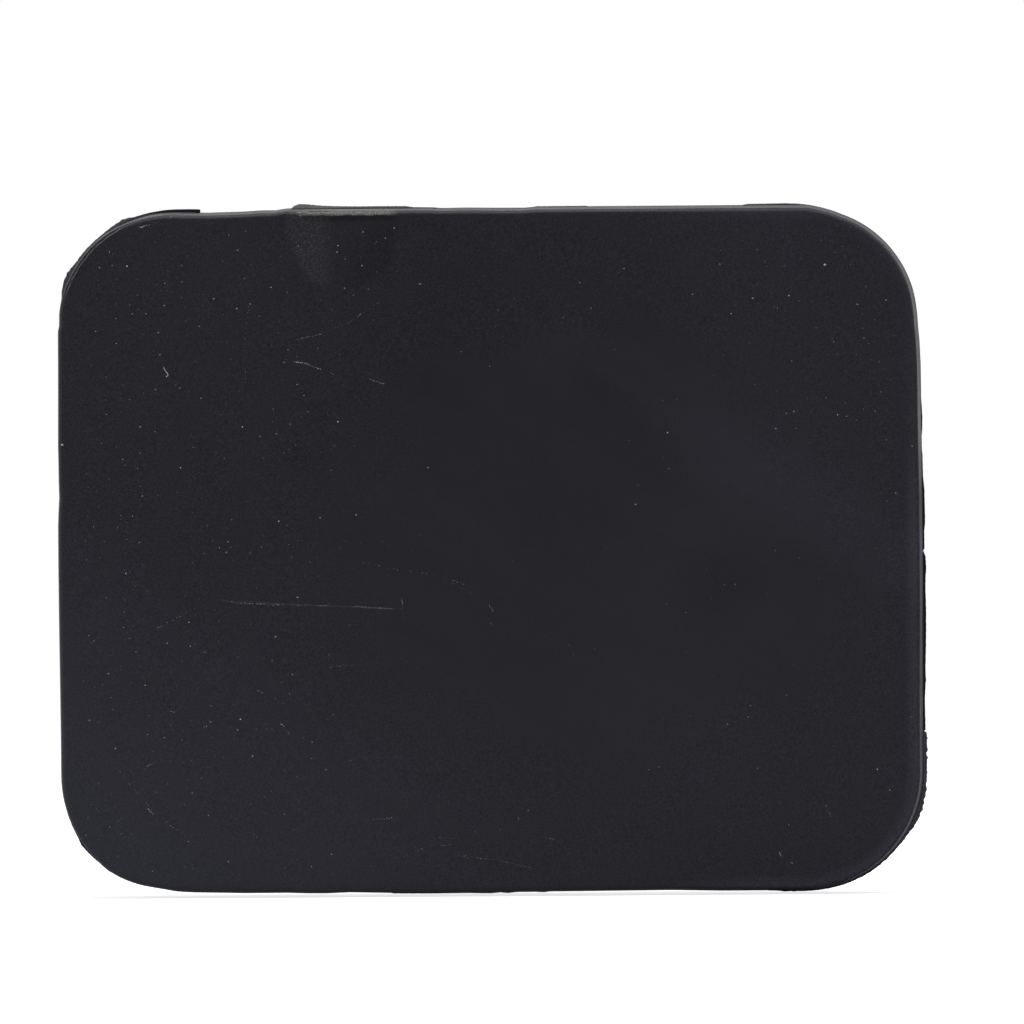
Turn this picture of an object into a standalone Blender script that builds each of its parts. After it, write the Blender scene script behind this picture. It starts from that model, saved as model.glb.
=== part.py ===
"""Snap-in cover for the towing eye hole in a car bumper, moulded in one piece.

The face looks along -Y and Z is up, as the cover sits in the bumper. The rim of the skirt seats on the bumper in the
plane Y = 0, and the origin is the middle of the outline in that plane. All sizes are in metres.
"""

import math

import bmesh
import bpy
from mathutils import Vector

# Outline of the rim, seen from the front
WIDTH = 0.0695
HEIGHT = 0.0552
CORNER_RADIUS = 0.0096
SIDE_BOW = 0.0001  # how far the left and right edges swell out halfway up

# Face plate and skirt
DEPTH = 0.0070  # from the middle of the face back to the rim
FACE_RADIUS_ACROSS = 0.85  # the face is crowned to follow the bumper
FACE_RADIUS_UP = 1.00
FACE_WALL = 0.0023
RIM_WALL = 0.0017
SKIRT_DRAFT = math.radians(2.5)
FACE_FILLET = 0.0004  # round edge of the face
FLOOR_FILLET = 0.0008  # inside, where the skirt meets the face plate

# Parting line at the rim: a witness ridge all round, and the fins of flash that stand out from it
WITNESS = 0.00003
FIN_THICKNESS = 0.0002
FIN_RAMP = 0.0008  # length over which a fin rises at each end

# Remains of the gate on the upper edge: a cut stub with a torn lump at its left end
GATE_START = -0.0159
GATE_LENGTH = 0.0099
GATE_STUB = 0.00017
GATE_THICKNESS = 0.0011
GATE_LUMP = 0.00038
GATE_LUMP_LENGTH = 0.0023

# Fence that centres the cover in the bumper's opening
FENCE_INSET = 0.0054  # from the rim's outline to the fence
FENCE_WALL = 0.0013
FENCE_REACH = 0.0040  # behind the rim
RIB_DRAFT = math.radians(0.75)

# Ribs that stiffen the face plate
RIB_WALL = 0.0010
RIB_SETBACK = 0.0015  # from the rim plane down to the top of the upright ribs
CROSS_RIB_DROP = 0.0004  # the level rib is this much lower
RIB_SPACING = 0.0210
RIB_COUNT = 2
BURY = 0.0009  # how far ribs, fence and clips run into the wall that carries them

# Clips: rigid hooks on the left, snap tongues on the right
SKIN = 0.0030  # thickness of the bumper between the rim and the clips
GRIP_CLEARANCE = 0.0002
CLIP_WIDTH = 0.0085
CLIP_SPACING = 0.0200
CLIP_EDGE = 0.00025  # rounding of the clips' edges
CLIP_PROUD = 0.00015  # the clips stand this far out of the fence

HOOK_WALL = 0.0022
HOOK_FOOT = 0.0038  # how far the foot reaches behind the bumper
HOOK_FOOT_WALL = 0.0026
HOOK_TOE_CUT = 0.0011  # chamfer that leads the toe behind the bumper
GUSSET_WALL = 0.0012
GUSSET_LENGTH = 0.0060
GUSSET_REACH = 0.0020  # behind the rim

TONGUE_WALL = 0.0014
TONGUE_REACH = 0.0092  # behind the rim
TONGUE_ROOT_RADIUS = 0.0012
TONGUE_SLOT = 0.0012  # free gap on each side of a tongue
TONGUE_SLOT_FLOOR = 0.0008  # the slots stop this far above the face plate
BARB = 0.0014  # how far the barb stands out behind the bumper
BARB_LAND = 0.0006
BARB_TIP_WALL = 0.0008

# Marks of the ejector pins on the inside of the face plate
PIN_RADIUS = 0.0022
PIN_SPACING = 0.0175
PIN_MARK_DEPTH = 0.0002

# Fineness of the facets
CORNER_STEPS = 12
EDGE_STEP = 0.0036
FACE_RINGS = 4
FLOOR_RINGS = 3
FILLET_STEPS = 4
RIB_STEP = 0.0080
PIN_SIDES = 20

# Sides in clockwise order, seen from the front
SIDES = ("top", "right", "bottom", "left")

# Fins of flash: side, where the fin starts and ends clockwise from the middle of that side, and how far it stands out
FLASH_FINS = (
    ("top", -0.0253, -0.0232, 0.00009),
    ("top", 0.0205, 0.0260, 0.00016),
    ("right", -0.0121, -0.0087, 0.00011),
    ("right", -0.0056, 0.0006, 0.00021),
    ("right", 0.0003, 0.0150, 0.00027),
    ("right", 0.0147, 0.0198, 0.00042),
    ("right", 0.0195, 0.0234, 0.00052),
    ("right", 0.0228, 0.0340, 0.00020),
    ("bottom", -0.0260, -0.0226, 0.00014),
    ("bottom", -0.0022, 0.0082, 0.00011),
    ("bottom", 0.0320, 0.0356, 0.00020),
    ("left", 0.0205, 0.0238, 0.00043),
    ("left", 0.0232, 0.0274, 0.00020),
    ("left", 0.0272, 0.0300, 0.00028),
)


def clear_scene():
    for thing in list(bpy.data.objects):
        bpy.data.objects.remove(thing)


def plastic():
    """Black plastic with a satin grain."""
    material = bpy.data.materials.new("black_plastic")
    material.use_nodes = True
    shader = material.node_tree.nodes["Principled BSDF"]
    shader.inputs["Base Color"].default_value = (0.021, 0.020, 0.025, 1.0)
    shader.inputs["Roughness"].default_value = 0.5
    shader.inputs["Metallic"].default_value = 0.0
    return material


def turned(vector, quarters):
    """A vector turned clockwise by a number of quarter turns."""
    for _ in range(quarters):
        vector = Vector((vector.y, -vector.x))
    return vector


class Outline:
    """The rim's outline: straight sides joined by round corners, measured clockwise from the left end of the top."""

    def __init__(self):
        self.corner = CORNER_RADIUS * math.pi / 2
        self.straights = [span - 2 * CORNER_RADIUS for span in (WIDTH, HEIGHT) * 2]
        self.reaches = [span / 2 for span in (HEIGHT, WIDTH) * 2]
        self.length = sum(self.straights) + 4 * self.corner

    def start(self, quarter):
        """Distance at which a side begins."""
        return sum(self.straights[:quarter]) + quarter * self.corner

    def distance(self, side, along):
        """Distance of a point that lies along clockwise from the middle of a side."""
        quarter = SIDES.index(side)
        return (self.start(quarter) + self.straights[quarter] / 2 + along) % self.length

    def at(self, distance):
        """Point and outward normal at this distance."""
        distance %= self.length
        quarter = max(q for q in range(4) if self.start(q) <= distance)
        straight, reach = self.straights[quarter], self.reaches[quarter]
        past = distance - self.start(quarter)
        if past <= straight:
            bow = SIDE_BOW if SIDES[quarter] in ("left", "right") else 0.0
            swell = bow * math.sin(math.pi * past / straight) ** 2
            point, normal = Vector((past - straight / 2, reach + swell)), Vector((0.0, 1.0))
        else:
            turn = (past - straight) / CORNER_RADIUS
            normal = Vector((math.sin(turn), math.cos(turn)))
            point = Vector((straight / 2, reach - CORNER_RADIUS)) + normal * CORNER_RADIUS
        return turned(point, quarter), turned(normal, quarter)


OUTLINE = Outline()


def fins():
    """Every fin with its start and end round the outline, how far it stands out and how thick it is."""
    for side, start, end, stands_out in FLASH_FINS:
        first = OUTLINE.distance(side, start)
        yield first, first + end - start, stands_out, FIN_THICKNESS
    gate = OUTLINE.distance("top", GATE_START)
    yield gate, gate + GATE_LENGTH, GATE_STUB, GATE_THICKNESS
    yield gate, gate + GATE_LUMP_LENGTH, GATE_LUMP, GATE_THICKNESS


def fin_share(distance, start, end):
    """1 on a fin, 0 off it, with a ramp at each end."""
    inside = (distance - start) % OUTLINE.length
    length = end - start
    if inside >= length:
        return 0.0
    return min(1.0, inside / FIN_RAMP, (length - inside) / FIN_RAMP)


def parting_line(distance):
    """How far the parting line stands out at this point, and how thick the fin there is."""
    stands_out, thickness = WITNESS, FIN_THICKNESS
    for start, end, fin_out, fin_thickness in fins():
        share = fin_share(distance, start, end)
        stands_out = max(stands_out, WITNESS + share * (fin_out - WITNESS))
        thickness = max(thickness, FIN_THICKNESS + share * (fin_thickness - FIN_THICKNESS))
    return stands_out, thickness


def stations():
    """Distances round the outline at which the shell has a column of facets, with no two too close."""
    wanted = []
    for quarter, straight in enumerate(OUTLINE.straights):
        start = OUTLINE.start(quarter)
        steps = math.ceil(straight / EDGE_STEP)
        wanted += [start + straight * i / steps for i in range(steps)]
        wanted += [start + straight + OUTLINE.corner * i / CORNER_STEPS for i in range(CORNER_STEPS)]
    for start, end, _out, _thickness in fins():
        for place in (start, start + FIN_RAMP, end - FIN_RAMP, end):
            wanted.append(place % OUTLINE.length)
    wanted.sort()
    kept = [wanted[0]]
    least = FIN_RAMP / 4
    for place in wanted[1:]:
        if place - kept[-1] > least and OUTLINE.length - place > least:
            kept.append(place)
    return kept


STATIONS = stations()


def crown(x, z):
    """How far the face falls back from its middle at x, z."""
    return x * x / (2 * FACE_RADIUS_ACROSS) + z * z / (2 * FACE_RADIUS_UP)


def face_y(x, z):
    return crown(x, z) - DEPTH


def floor_y(x, z):
    """The inside of the face plate."""
    return face_y(x, z) + FACE_WALL


def ring(inset, depth):
    """A ring of points; inset and depth are worked out for each station from its distance and its point."""
    points = []
    for distance in STATIONS:
        edge, normal = OUTLINE.at(distance)
        place = edge - normal * inset(distance)
        points.append(Vector((place.x, depth(distance, place), place.y)))
    return points


def shrunk(points, share, surface):
    """A ring drawn in towards the middle, lying on a surface."""
    return [Vector((p.x * share, surface(p.x * share, p.z * share), p.z * share)) for p in points]


def outer_inset(y):
    """Inset of the skirt's outside at height y."""
    return -y * math.tan(SKIRT_DRAFT)


def inner_inset(y):
    return RIM_WALL + outer_inset(y)


def face_edge_rings():
    """The rounded edge of the face, from the face out to the skirt."""
    wall = outer_inset(-DEPTH)
    rings = []
    for step in range(FILLET_STEPS, -1, -1):
        turn = math.pi / 2 * step / FILLET_STEPS
        inset = wall + FACE_FILLET * (1 - math.cos(turn))
        back = FACE_FILLET * (1 - math.sin(turn))
        rings.append(ring(lambda _s, i=inset: i, lambda _s, p, b=back: face_y(p.x, p.y) + b))
    return rings


def rim_rings():
    """Parting line with its fins, and the flat rim that seats on the bumper."""

    def out(distance):
        return -parting_line(distance)[0]

    def fin_root(distance, _place):
        return -1.1 * parting_line(distance)[1]

    def fin_front(distance, _place):
        return -parting_line(distance)[1]

    return [
        ring(lambda s: outer_inset(fin_root(s, None)), fin_root),
        ring(out, fin_front),
        ring(out, lambda _s, _p: 0.0),
        ring(lambda _s: RIM_WALL, lambda _s, _p: 0.0),
    ]


def floor_edge_rings():
    """The rounded corner inside, from the skirt down to the floor."""
    rings = []
    wall = inner_inset(FACE_WALL - DEPTH)
    for step in range(FILLET_STEPS):
        turn = math.pi / 2 * step / (FILLET_STEPS - 1)
        inset = wall + FLOOR_FILLET * (1 - math.cos(turn))
        up = FLOOR_FILLET * (1 - math.sin(turn))
        rings.append(ring(lambda _s, i=inset: i, lambda _s, p, u=up: floor_y(p.x, p.y) + u))
    return rings


def mesh_object(name, build):
    """A new mesh object whose faces point out. build fills the bmesh."""
    mesh = bpy.data.meshes.new(name)
    shape = bmesh.new()
    build(shape)
    bmesh.ops.recalc_face_normals(shape, faces=shape.faces)
    shape.to_mesh(mesh)
    shape.free()
    made = bpy.data.objects.new(name, mesh)
    bpy.context.scene.collection.objects.link(made)
    return made


def bridge(shape, rows, around=False):
    """Quads between neighbouring rows of points. With around, the last row joins the first."""
    made = [[shape.verts.new(point) for point in row] for row in rows]
    pairs = list(zip(made, made[1:])) + ([(made[-1], made[0])] if around else [])
    for first, second in pairs:
        count = len(first)
        for i in range(count):
            j = (i + 1) % count
            shape.faces.new((first[i], first[j], second[j], second[i]))
    return made


def shell():
    """Face plate and skirt in one skin: over the face, down the skirt, round the rim and across the floor."""
    edge = face_edge_rings()
    floor_edge = floor_edge_rings()
    face = [shrunk(edge[0], i / FACE_RINGS, face_y) for i in range(1, FACE_RINGS)]
    floor = [shrunk(floor_edge[-1], i / FLOOR_RINGS, floor_y) for i in range(FLOOR_RINGS - 1, 0, -1)]

    def build(shape):
        made = bridge(shape, face + edge + rim_rings() + floor_edge + floor)
        for row, middle in ((made[0], face_y(0, 0)), (made[-1], floor_y(0, 0))):
            pole = shape.verts.new((0, middle, 0))
            for i, point in enumerate(row):
                shape.faces.new((row[i - 1], point, pole))

    return mesh_object("cover", build)


def fence():
    """Band that stands on the floor inside the skirt and reaches behind the rim."""
    draft = math.tan(RIB_DRAFT)
    deepest = FACE_WALL - DEPTH

    def foot(_distance, place):
        return floor_y(place.x, place.y) - BURY

    def top(_distance, _place):
        return FENCE_REACH

    spread = (FENCE_REACH - deepest) * draft

    def build(shape):
        rows = [
            ring(lambda _s: FENCE_INSET - spread, foot),
            ring(lambda _s: FENCE_INSET, top),
            ring(lambda _s: FENCE_INSET + FENCE_WALL, top),
            ring(lambda _s: FENCE_INSET + FENCE_WALL + spread, foot),
        ]
        bridge(shape, rows, around=True)

    return mesh_object("fence", build)


def rib(name, start, end, top):
    """A drafted wall from start to end, rooted in the floor, with its upper edge at height top."""
    start, end = Vector(start), Vector(end)
    steps = max(1, math.ceil((end - start).length / RIB_STEP))
    across = turned((end - start).normalized(), 1)
    rows = []
    for i in range(steps + 1):
        place = start.lerp(end, i / steps)
        foot = floor_y(place.x, place.y) - BURY
        narrow = RIB_WALL / 2
        wide = narrow + (top - foot) * math.tan(RIB_DRAFT)
        section = ((-wide, foot), (-narrow, top), (narrow, top), (wide, foot))
        rows.append([Vector((place.x + across.x * u, y, place.y + across.y * u)) for u, y in section])

    def build(shape):
        made = bridge(shape, rows)
        shape.faces.new(made[0])
        shape.faces.new(made[-1])

    return mesh_object(name, build)


def ribs():
    """Upright ribs and one level rib, each running from skirt to skirt."""
    half_height = HEIGHT / 2 - RIM_WALL + BURY / 2
    half_width = WIDTH / 2 - RIM_WALL + BURY / 2
    made = []
    for i in range(RIB_COUNT):
        x = RIB_SPACING * (i - (RIB_COUNT - 1) / 2)
        made.append(rib(f"upright_rib_{i + 1}", (x, -half_height), (x, half_height), -RIB_SETBACK))
    level = -RIB_SETBACK - CROSS_RIB_DROP
    made.append(rib("level_rib", (-half_width, 0.0), (half_width, 0.0), level))
    return made


def clip_x():
    """Distance of the clips' outer faces from the middle."""
    return WIDTH / 2 + SIDE_BOW - FENCE_INSET + CLIP_PROUD


def catch_y():
    """Height of the faces that bear on the back of the bumper."""
    return SKIN + GRIP_CLEARANCE


def clip_heights():
    """Z of the two clips on each side."""
    return (CLIP_SPACING / 2, -CLIP_SPACING / 2)


def clip_foot(z):
    """Height at which a clip starts, inside the face plate."""
    return floor_y(clip_x(), z) - BURY


def prism(name, profile, width, facing, z):
    """A profile of (out, y) points, extruded to width along Z. Out is measured from the clips' outer faces."""
    rows = [
        [Vector((facing * (clip_x() + out), y, z + half)) for out, y in profile]
        for half in (-width / 2, width / 2)
    ]

    def build(shape):
        made = bridge(shape, rows)
        shape.faces.new(made[0])
        shape.faces.new(made[-1])

    return mesh_object(name, build)


def rounded(thing):
    """Rounds a clip's sharp edges."""
    bevel = thing.modifiers.new("edges", "BEVEL")
    bevel.width = CLIP_EDGE
    bevel.segments = 2
    bevel.limit_method = "ANGLE"
    bevel.angle_limit = math.radians(50)
    return thing


def hook(name, z):
    """Rigid leg with a foot that goes behind the bumper first."""
    foot = clip_foot(z)
    catch = catch_y()
    sole = catch + HOOK_FOOT_WALL
    profile = (
        (-HOOK_WALL, foot),
        (0.0, foot),
        (0.0, catch),
        (HOOK_FOOT - HOOK_TOE_CUT, catch),
        (HOOK_FOOT, catch + HOOK_TOE_CUT * 0.8),
        (HOOK_FOOT, sole - HOOK_TOE_CUT),
        (HOOK_FOOT - HOOK_TOE_CUT, sole),
        (-HOOK_WALL + HOOK_TOE_CUT, sole),
        (-HOOK_WALL, sole - HOOK_TOE_CUT),
    )
    return rounded(prism(name, profile, CLIP_WIDTH, -1, z))


def gusset(name, z):
    """Three-cornered web that props a hook from inside."""
    foot = clip_foot(z)
    lap = HOOK_WALL / 2
    profile = (
        (-lap, foot),
        (-lap, GUSSET_REACH),
        (-HOOK_WALL, GUSSET_REACH),
        (-HOOK_WALL - GUSSET_LENGTH, foot + BURY),
        (-HOOK_WALL - GUSSET_LENGTH, foot),
    )
    return prism(name, profile, GUSSET_WALL, -1, z)


def tongue(name, z):
    """Springy leg with a barb, a slanted lead-in and a rounded root."""
    foot = clip_foot(z)
    floor = foot + BURY
    catch = catch_y()
    radius = TONGUE_ROOT_RADIUS
    profile = [
        (0.0, foot),
        (0.0, catch),
        (BARB, catch),
        (BARB, catch + BARB_LAND),
        (BARB_TIP_WALL - TONGUE_WALL, TONGUE_REACH),
        (-TONGUE_WALL, TONGUE_REACH),
    ]
    for step in range(FILLET_STEPS + 1):
        turn = math.pi / 2 * step / FILLET_STEPS
        inward = TONGUE_WALL + radius * (1 - math.cos(turn))
        profile.append((-inward, floor + radius * (1 - math.sin(turn))))
    profile.append((-TONGUE_WALL - radius, foot))
    return rounded(prism(name, profile, CLIP_WIDTH, 1, z))


def tongue_gap(name, z):
    """Cutter that frees a tongue from the fence."""
    reach = FENCE_REACH - floor_y(clip_x(), z) - TONGUE_SLOT_FLOOR
    across = 4 * FENCE_WALL
    bottom = FENCE_REACH - reach
    profile = (
        (-across, bottom),
        (across / 2, bottom),
        (across / 2, 2 * FENCE_REACH),
        (-across, 2 * FENCE_REACH),
    )
    return prism(name, profile, CLIP_WIDTH + 2 * TONGUE_SLOT, 1, z)


def pin_places():
    """One pin in each field between the ribs."""
    fence_half_height = HEIGHT / 2 - FENCE_INSET - FENCE_WALL
    for column in range(RIB_COUNT + 1):
        x = PIN_SPACING * (column - RIB_COUNT / 2)
        for side in (-1, 1):
            yield x, side * fence_half_height / 2


def pin_mark(name, x, z):
    """Cutter for the shallow round mark of an ejector pin."""
    bottom = floor_y(x, z) - PIN_MARK_DEPTH
    top = floor_y(x, z) + BURY
    rows = []
    for y in (bottom, top):
        turns = [2 * math.pi * i / PIN_SIDES for i in range(PIN_SIDES)]
        rows.append([Vector((x + PIN_RADIUS * math.cos(t), y, z + PIN_RADIUS * math.sin(t))) for t in turns])

    def build(shape):
        made = bridge(shape, rows)
        shape.faces.new(made[0])
        shape.faces.new(made[-1])

    return mesh_object(name, build)


def combine(body, helper, operation):
    """Joins a helper to the body or cuts the body with it, and keeps the helper as a hidden guide."""
    modifier = body.modifiers.new(helper.name, "BOOLEAN")
    modifier.object = helper
    modifier.operation = operation
    modifier.solver = "EXACT"
    helper.display_type = "WIRE"
    helper.hide_render = True


def build_cover():
    cover = shell()
    cover.data.materials.append(plastic())
    cover.data.shade_smooth()
    cover.data.set_sharp_from_angle(angle=math.radians(35))

    band = fence()
    for number, z in enumerate(clip_heights(), 1):
        combine(band, tongue_gap(f"tongue_gap_{number}", z), "DIFFERENCE")
    combine(cover, band, "UNION")
    for piece in ribs():
        combine(cover, piece, "UNION")
    for number, z in enumerate(clip_heights(), 1):
        combine(cover, hook(f"hook_{number}", z), "UNION")
        combine(cover, gusset(f"gusset_{number}", z), "UNION")
        combine(cover, tongue(f"tongue_{number}", z), "UNION")
    for number, (x, z) in enumerate(pin_places(), 1):
        combine(cover, pin_mark(f"pin_mark_{number}", x, z), "DIFFERENCE")
    return cover


def main():
    clear_scene()
    build_cover()


main()
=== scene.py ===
"""Dresses the snap-in cover for a towing eye hole, on a pale floor in soft light.

It makes the moulding with its fine edges, the flash along its parting line, the torn gate, dust and a fibre.
Sizes are in metres where nothing else is said. The face looks along -Y, Z is up, and the rim seats in the
plane Y = 0, as on the solid part. Run it as a script; the sidebar panel lists the steps.
"""

import math
import random

import bmesh
import bpy
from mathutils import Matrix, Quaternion, Vector


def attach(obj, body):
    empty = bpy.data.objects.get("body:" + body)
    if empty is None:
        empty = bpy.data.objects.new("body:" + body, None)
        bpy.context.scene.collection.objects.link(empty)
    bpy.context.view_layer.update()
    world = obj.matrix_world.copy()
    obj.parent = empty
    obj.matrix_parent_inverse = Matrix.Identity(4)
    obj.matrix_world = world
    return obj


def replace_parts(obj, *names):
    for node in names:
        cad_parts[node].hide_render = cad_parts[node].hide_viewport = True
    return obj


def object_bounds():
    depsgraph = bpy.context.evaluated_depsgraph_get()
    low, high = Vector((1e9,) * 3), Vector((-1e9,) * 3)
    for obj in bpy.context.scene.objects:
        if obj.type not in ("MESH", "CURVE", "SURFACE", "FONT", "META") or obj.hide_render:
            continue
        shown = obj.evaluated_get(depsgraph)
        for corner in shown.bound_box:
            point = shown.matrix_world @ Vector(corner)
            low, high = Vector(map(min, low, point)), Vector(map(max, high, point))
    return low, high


bl_info = {
    "name": "Towing Eye Cover",
    "version": (1, 0, 0),
    "blender": (4, 5, 0),
    "location": "View3D > Sidebar > Cover",
    "description": "Builds the finished look of a snap-in bumper cover",
    "category": "Object",
}

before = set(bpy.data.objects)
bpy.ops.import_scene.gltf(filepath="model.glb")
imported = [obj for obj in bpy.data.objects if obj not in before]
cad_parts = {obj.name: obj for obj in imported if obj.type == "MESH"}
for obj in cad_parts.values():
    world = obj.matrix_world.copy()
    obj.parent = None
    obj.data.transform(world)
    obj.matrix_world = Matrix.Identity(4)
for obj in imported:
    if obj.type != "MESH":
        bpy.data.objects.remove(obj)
CAD_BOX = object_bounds()

BODY = "root"
NODE = "cover"
MM = 0.001

# Outline of the rim, and the shell
WIDTH = 0.0695
HEIGHT = 0.0552
CORNER_RADIUS = 0.0096
SIDE_BOW = 0.000097
DEPTH = 0.0070
CROWN_ACROSS = 0.85
CROWN_UP = 1.00
FACE_WALL = 0.0023
RIM_WALL = 0.0017
SKIRT_DRAFT = math.radians(2.5)
FACE_FILLET = 0.0004
FLOOR_FILLET = 0.0008
RIM_EDGE = 0.00012  # rounding of the rim's inner edge
WITNESS = 0.00003
WITNESS_HEIGHT = 0.0002
FACE_LAND = 0.0020  # inset of the outermost ring that is simply drawn in towards the middle
FLOOR_LAND = 0.0036

# Fence and ribs
FENCE_INSET = 0.0054
FENCE_WALL = 0.0013
FENCE_REACH = 0.0040
RIB_DRAFT = math.radians(0.75)
RIB_WALL = 0.0010
RIB_SETBACK = 0.0015
CROSS_RIB_DROP = 0.0004
RIB_SPACING = 0.0210
RIB_COUNT = 2
BURY = 0.0009
ROOT_FILLET = 0.00035  # hollow rounding where ribs and fence stand on the face plate
ROOT_SINK = 0.00002  # how far a root's feather edge dips under the floor
TOP_EDGE = 0.0002  # rounding along the top of ribs and fence

# Clips
CATCH = 0.0032  # height of the faces that bear on the back of the bumper
CLIP_WIDTH = 0.0085
CLIP_SPACING = 0.0200
CLIP_COUNT = 2
CLIP_EDGE = 0.00025
CLIP_EDGE_STEPS = 3
CLIP_EDGE_ANGLE = math.radians(50)
CLIP_PROUD = 0.00015
HOOK_WALL = 0.0022
HOOK_FOOT = 0.0038
HOOK_FOOT_WALL = 0.0026
HOOK_TOE_CUT = 0.0011
GUSSET_WALL = 0.0012
GUSSET_LENGTH = 0.0060
GUSSET_REACH = 0.0020
GUSSET_EDGE = 0.00015
TONGUE_WALL = 0.0014
TONGUE_REACH = 0.0092
TONGUE_ROOT_RADIUS = 0.0012
TONGUE_SLOT = 0.0012
TONGUE_SLOT_FLOOR = 0.0008
BARB = 0.0014
BARB_LAND = 0.0006
BARB_TIP_WALL = 0.0008

# Ejector pin marks
PIN_RADIUS = 0.0022
PIN_SPACING = 0.0175
PIN_MARK_DEPTH = 0.0002
PIN_SIDES = 64

# The crown bends all that lies below ROOT_LEVEL, and nothing above FREE_LEVEL
ROOT_LEVEL = -0.0039
FREE_LEVEL = -0.0025

# The smooth part of the face, in millimetres: its middle, and one over its half axes
SMOOTH_MIDDLE = (9.0, 0.0, 0.0)
SMOOTH_SQUEEZE = (1 / 20, 0.0, 1 / 17)
LIGHT_BAND = ((6.0, 16.0), (33.0, -1.0))  # ends of a soft light band over it
LIGHT_BAND_HALF = 4.5
BANDS_ALONG = (0.84, 0.0, -0.55)  # direction of the faint bands in it
BANDS_ACROSS = (0.55, 0.0, 0.84)
BANDS_STRETCH = 5.0
# Soft spots of the face that are lighter or darker: middle, full up to, gone from, and by how much; the
# first, over the upper middle, is painted shade
TONE_SPOTS = (
    ((0.0, 17.0), 5.0, 24.0, -0.13),
    ((18.0, -3.0), 0.5, 5.5, -0.16),
    ((14.0, -17.0), 2.0, 12.0, 0.10),
)

# Fineness
STATIONS = 520
CORNER_POINTS = 40
FACE_RINGS = 14
FLOOR_RINGS = 12
ARC_STEPS = 7
WALL_STEP = 0.0007
MERGE = 0.000001
HOLE_SIDES = 8
SHARP_ANGLE = math.radians(32)
NOISE_SPAN = (0.3, 0.7)  # range in which most of a noise lies

# Flash: side, tone (0 glossy black, 1 dull grey), places of (clockwise from the side's middle, stands out);
# its black is painted shade and its grey painted light on the same plastic
FLASH = (
    ("top", 0.3, (
        (-0.0270, 0.0), (-0.0262, 0.00003), (-0.0240, 0.00005), (-0.0234, 0.00003), (-0.0232, 0.0),
    )),
    ("top", 0.4, (
        (0.0036, 0.0), (0.0039, 0.00007), (0.0079, 0.00008), (0.0083, 0.0),
    )),
    ("top", 0.1, (
        (0.0203, 0.0), (0.0209, 0.00013), (0.0240, 0.00017), (0.0249, 0.00013), (0.0263, 0.0),
    )),
    ("right", 0.0, (
        (-0.0124, 0.0), (-0.0115, 0.00007), (-0.0104, 0.00012), (-0.0094, 0.00009), (-0.0087, 0.0),
    )),
    ("right", 0.0, (
        (-0.0082, 0.0), (-0.0074, 0.00008), (-0.0057, 0.00010), (-0.0046, 0.00020), (-0.0020, 0.00023),
        (-0.0012, 0.00015), (0.0002, 0.00015), (0.0004, 0.0),
    )),
    ("right", 0.0, (
        (0.0002, 0.0), (0.0008, 0.00024), (0.0018, 0.00030), (0.0026, 0.00023), (0.0037, 0.00023),
        (0.0050, 0.00028), (0.0072, 0.00028), (0.0100, 0.00023), (0.0107, 0.00027), (0.0122, 0.00018),
        (0.0148, 0.00024), (0.0149, 0.0),
    )),
    ("right", 1.0, (
        (0.0148, 0.0), (0.0150, 0.00041), (0.0165, 0.00046), (0.0174, 0.00042), (0.0190, 0.00042),
        (0.0202, 0.00054), (0.0218, 0.00055), (0.0226, 0.00044), (0.0233, 0.00031), (0.0245, 0.00022),
        (0.0250, 0.0),
    )),
    ("right", 0.9, (
        (0.0236, 0.0), (0.0243, 0.00019), (0.0275, 0.00021), (0.0300, 0.00016), (0.0315, 0.00012),
        (0.0340, 0.00015), (0.0347, 0.00016), (0.0352, 0.00009), (0.0371, 0.0),
    )),
    ("bottom", 0.0, (
        (-0.0046, 0.0), (-0.0041, 0.00007), (-0.0034, 0.00003), (-0.0029, 0.0),
    )),
    ("bottom", 0.0, (
        (-0.0022, 0.0), (-0.0012, 0.00012), (-0.0006, 0.00006), (0.0003, 0.00013), (0.0020, 0.00009),
        (0.0050, 0.00011), (0.0080, 0.00009), (0.0084, 0.0),
    )),
    ("bottom", 0.0, (
        (0.0306, 0.0), (0.0314, 0.00010), (0.0324, 0.00008), (0.0335, 0.00016), (0.0344, 0.00023),
        (0.0350, 0.00012), (0.0359, 0.00008), (0.0372, 0.00005), (0.0380, 0.0),
    )),
    ("left", 1.0, (
        (0.0203, 0.0), (0.0210, 0.00022), (0.0220, 0.00045), (0.0225, 0.00046), (0.0230, 0.00034),
        (0.0236, 0.00024), (0.0250, 0.00019), (0.0270, 0.00016), (0.0280, 0.00027), (0.0286, 0.00030),
        (0.0292, 0.00023), (0.0297, 0.00006), (0.0312, 0.00003), (0.0318, 0.0),
    )),
)
FLASH_THICKNESS = 0.0002
FLASH_ROOT = 0.00030
FLASH_STEP = 0.00009
FLASH_RAGGED = 0.45
FLASH_GRAIN = 0.0004  # length of one tooth of the ragged edge
FLASH_SIDES = 10  # sides of a fin's section
SMOOTH_SHARE = 0.3  # share of the raggedness that glossy flash has

# What is left of the gate on the upper edge: a cut stub with a torn lump at its left end
GATE = (
    ("top", 0.4, (
        (-0.0159, 0.0), (-0.0156, 0.00026), (-0.0152, 0.00040), (-0.0147, 0.00039), (-0.0140, 0.00031),
        (-0.0134, 0.00025), (-0.0124, 0.00020), (-0.0104, 0.00016), (-0.0090, 0.00017),
        (-0.0066, 0.00016), (-0.0060, 0.00006), (-0.0045, 0.00003), (-0.0041, 0.0),
    )),
)
GATE_THICKNESS = 0.0011
GATE_ROOT = 0.00045
GATE_STEP = 0.00006
GATE_RAGGED = 0.22
GATE_GRAIN = 0.00022
GATE_SIDES = 28
GATE_TORN = (-10.5, -13.5)  # where the torn part starts and is full, in millimetres
GATE_COLOUR = (0.048, 0.047, 0.038, 1.0)

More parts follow.
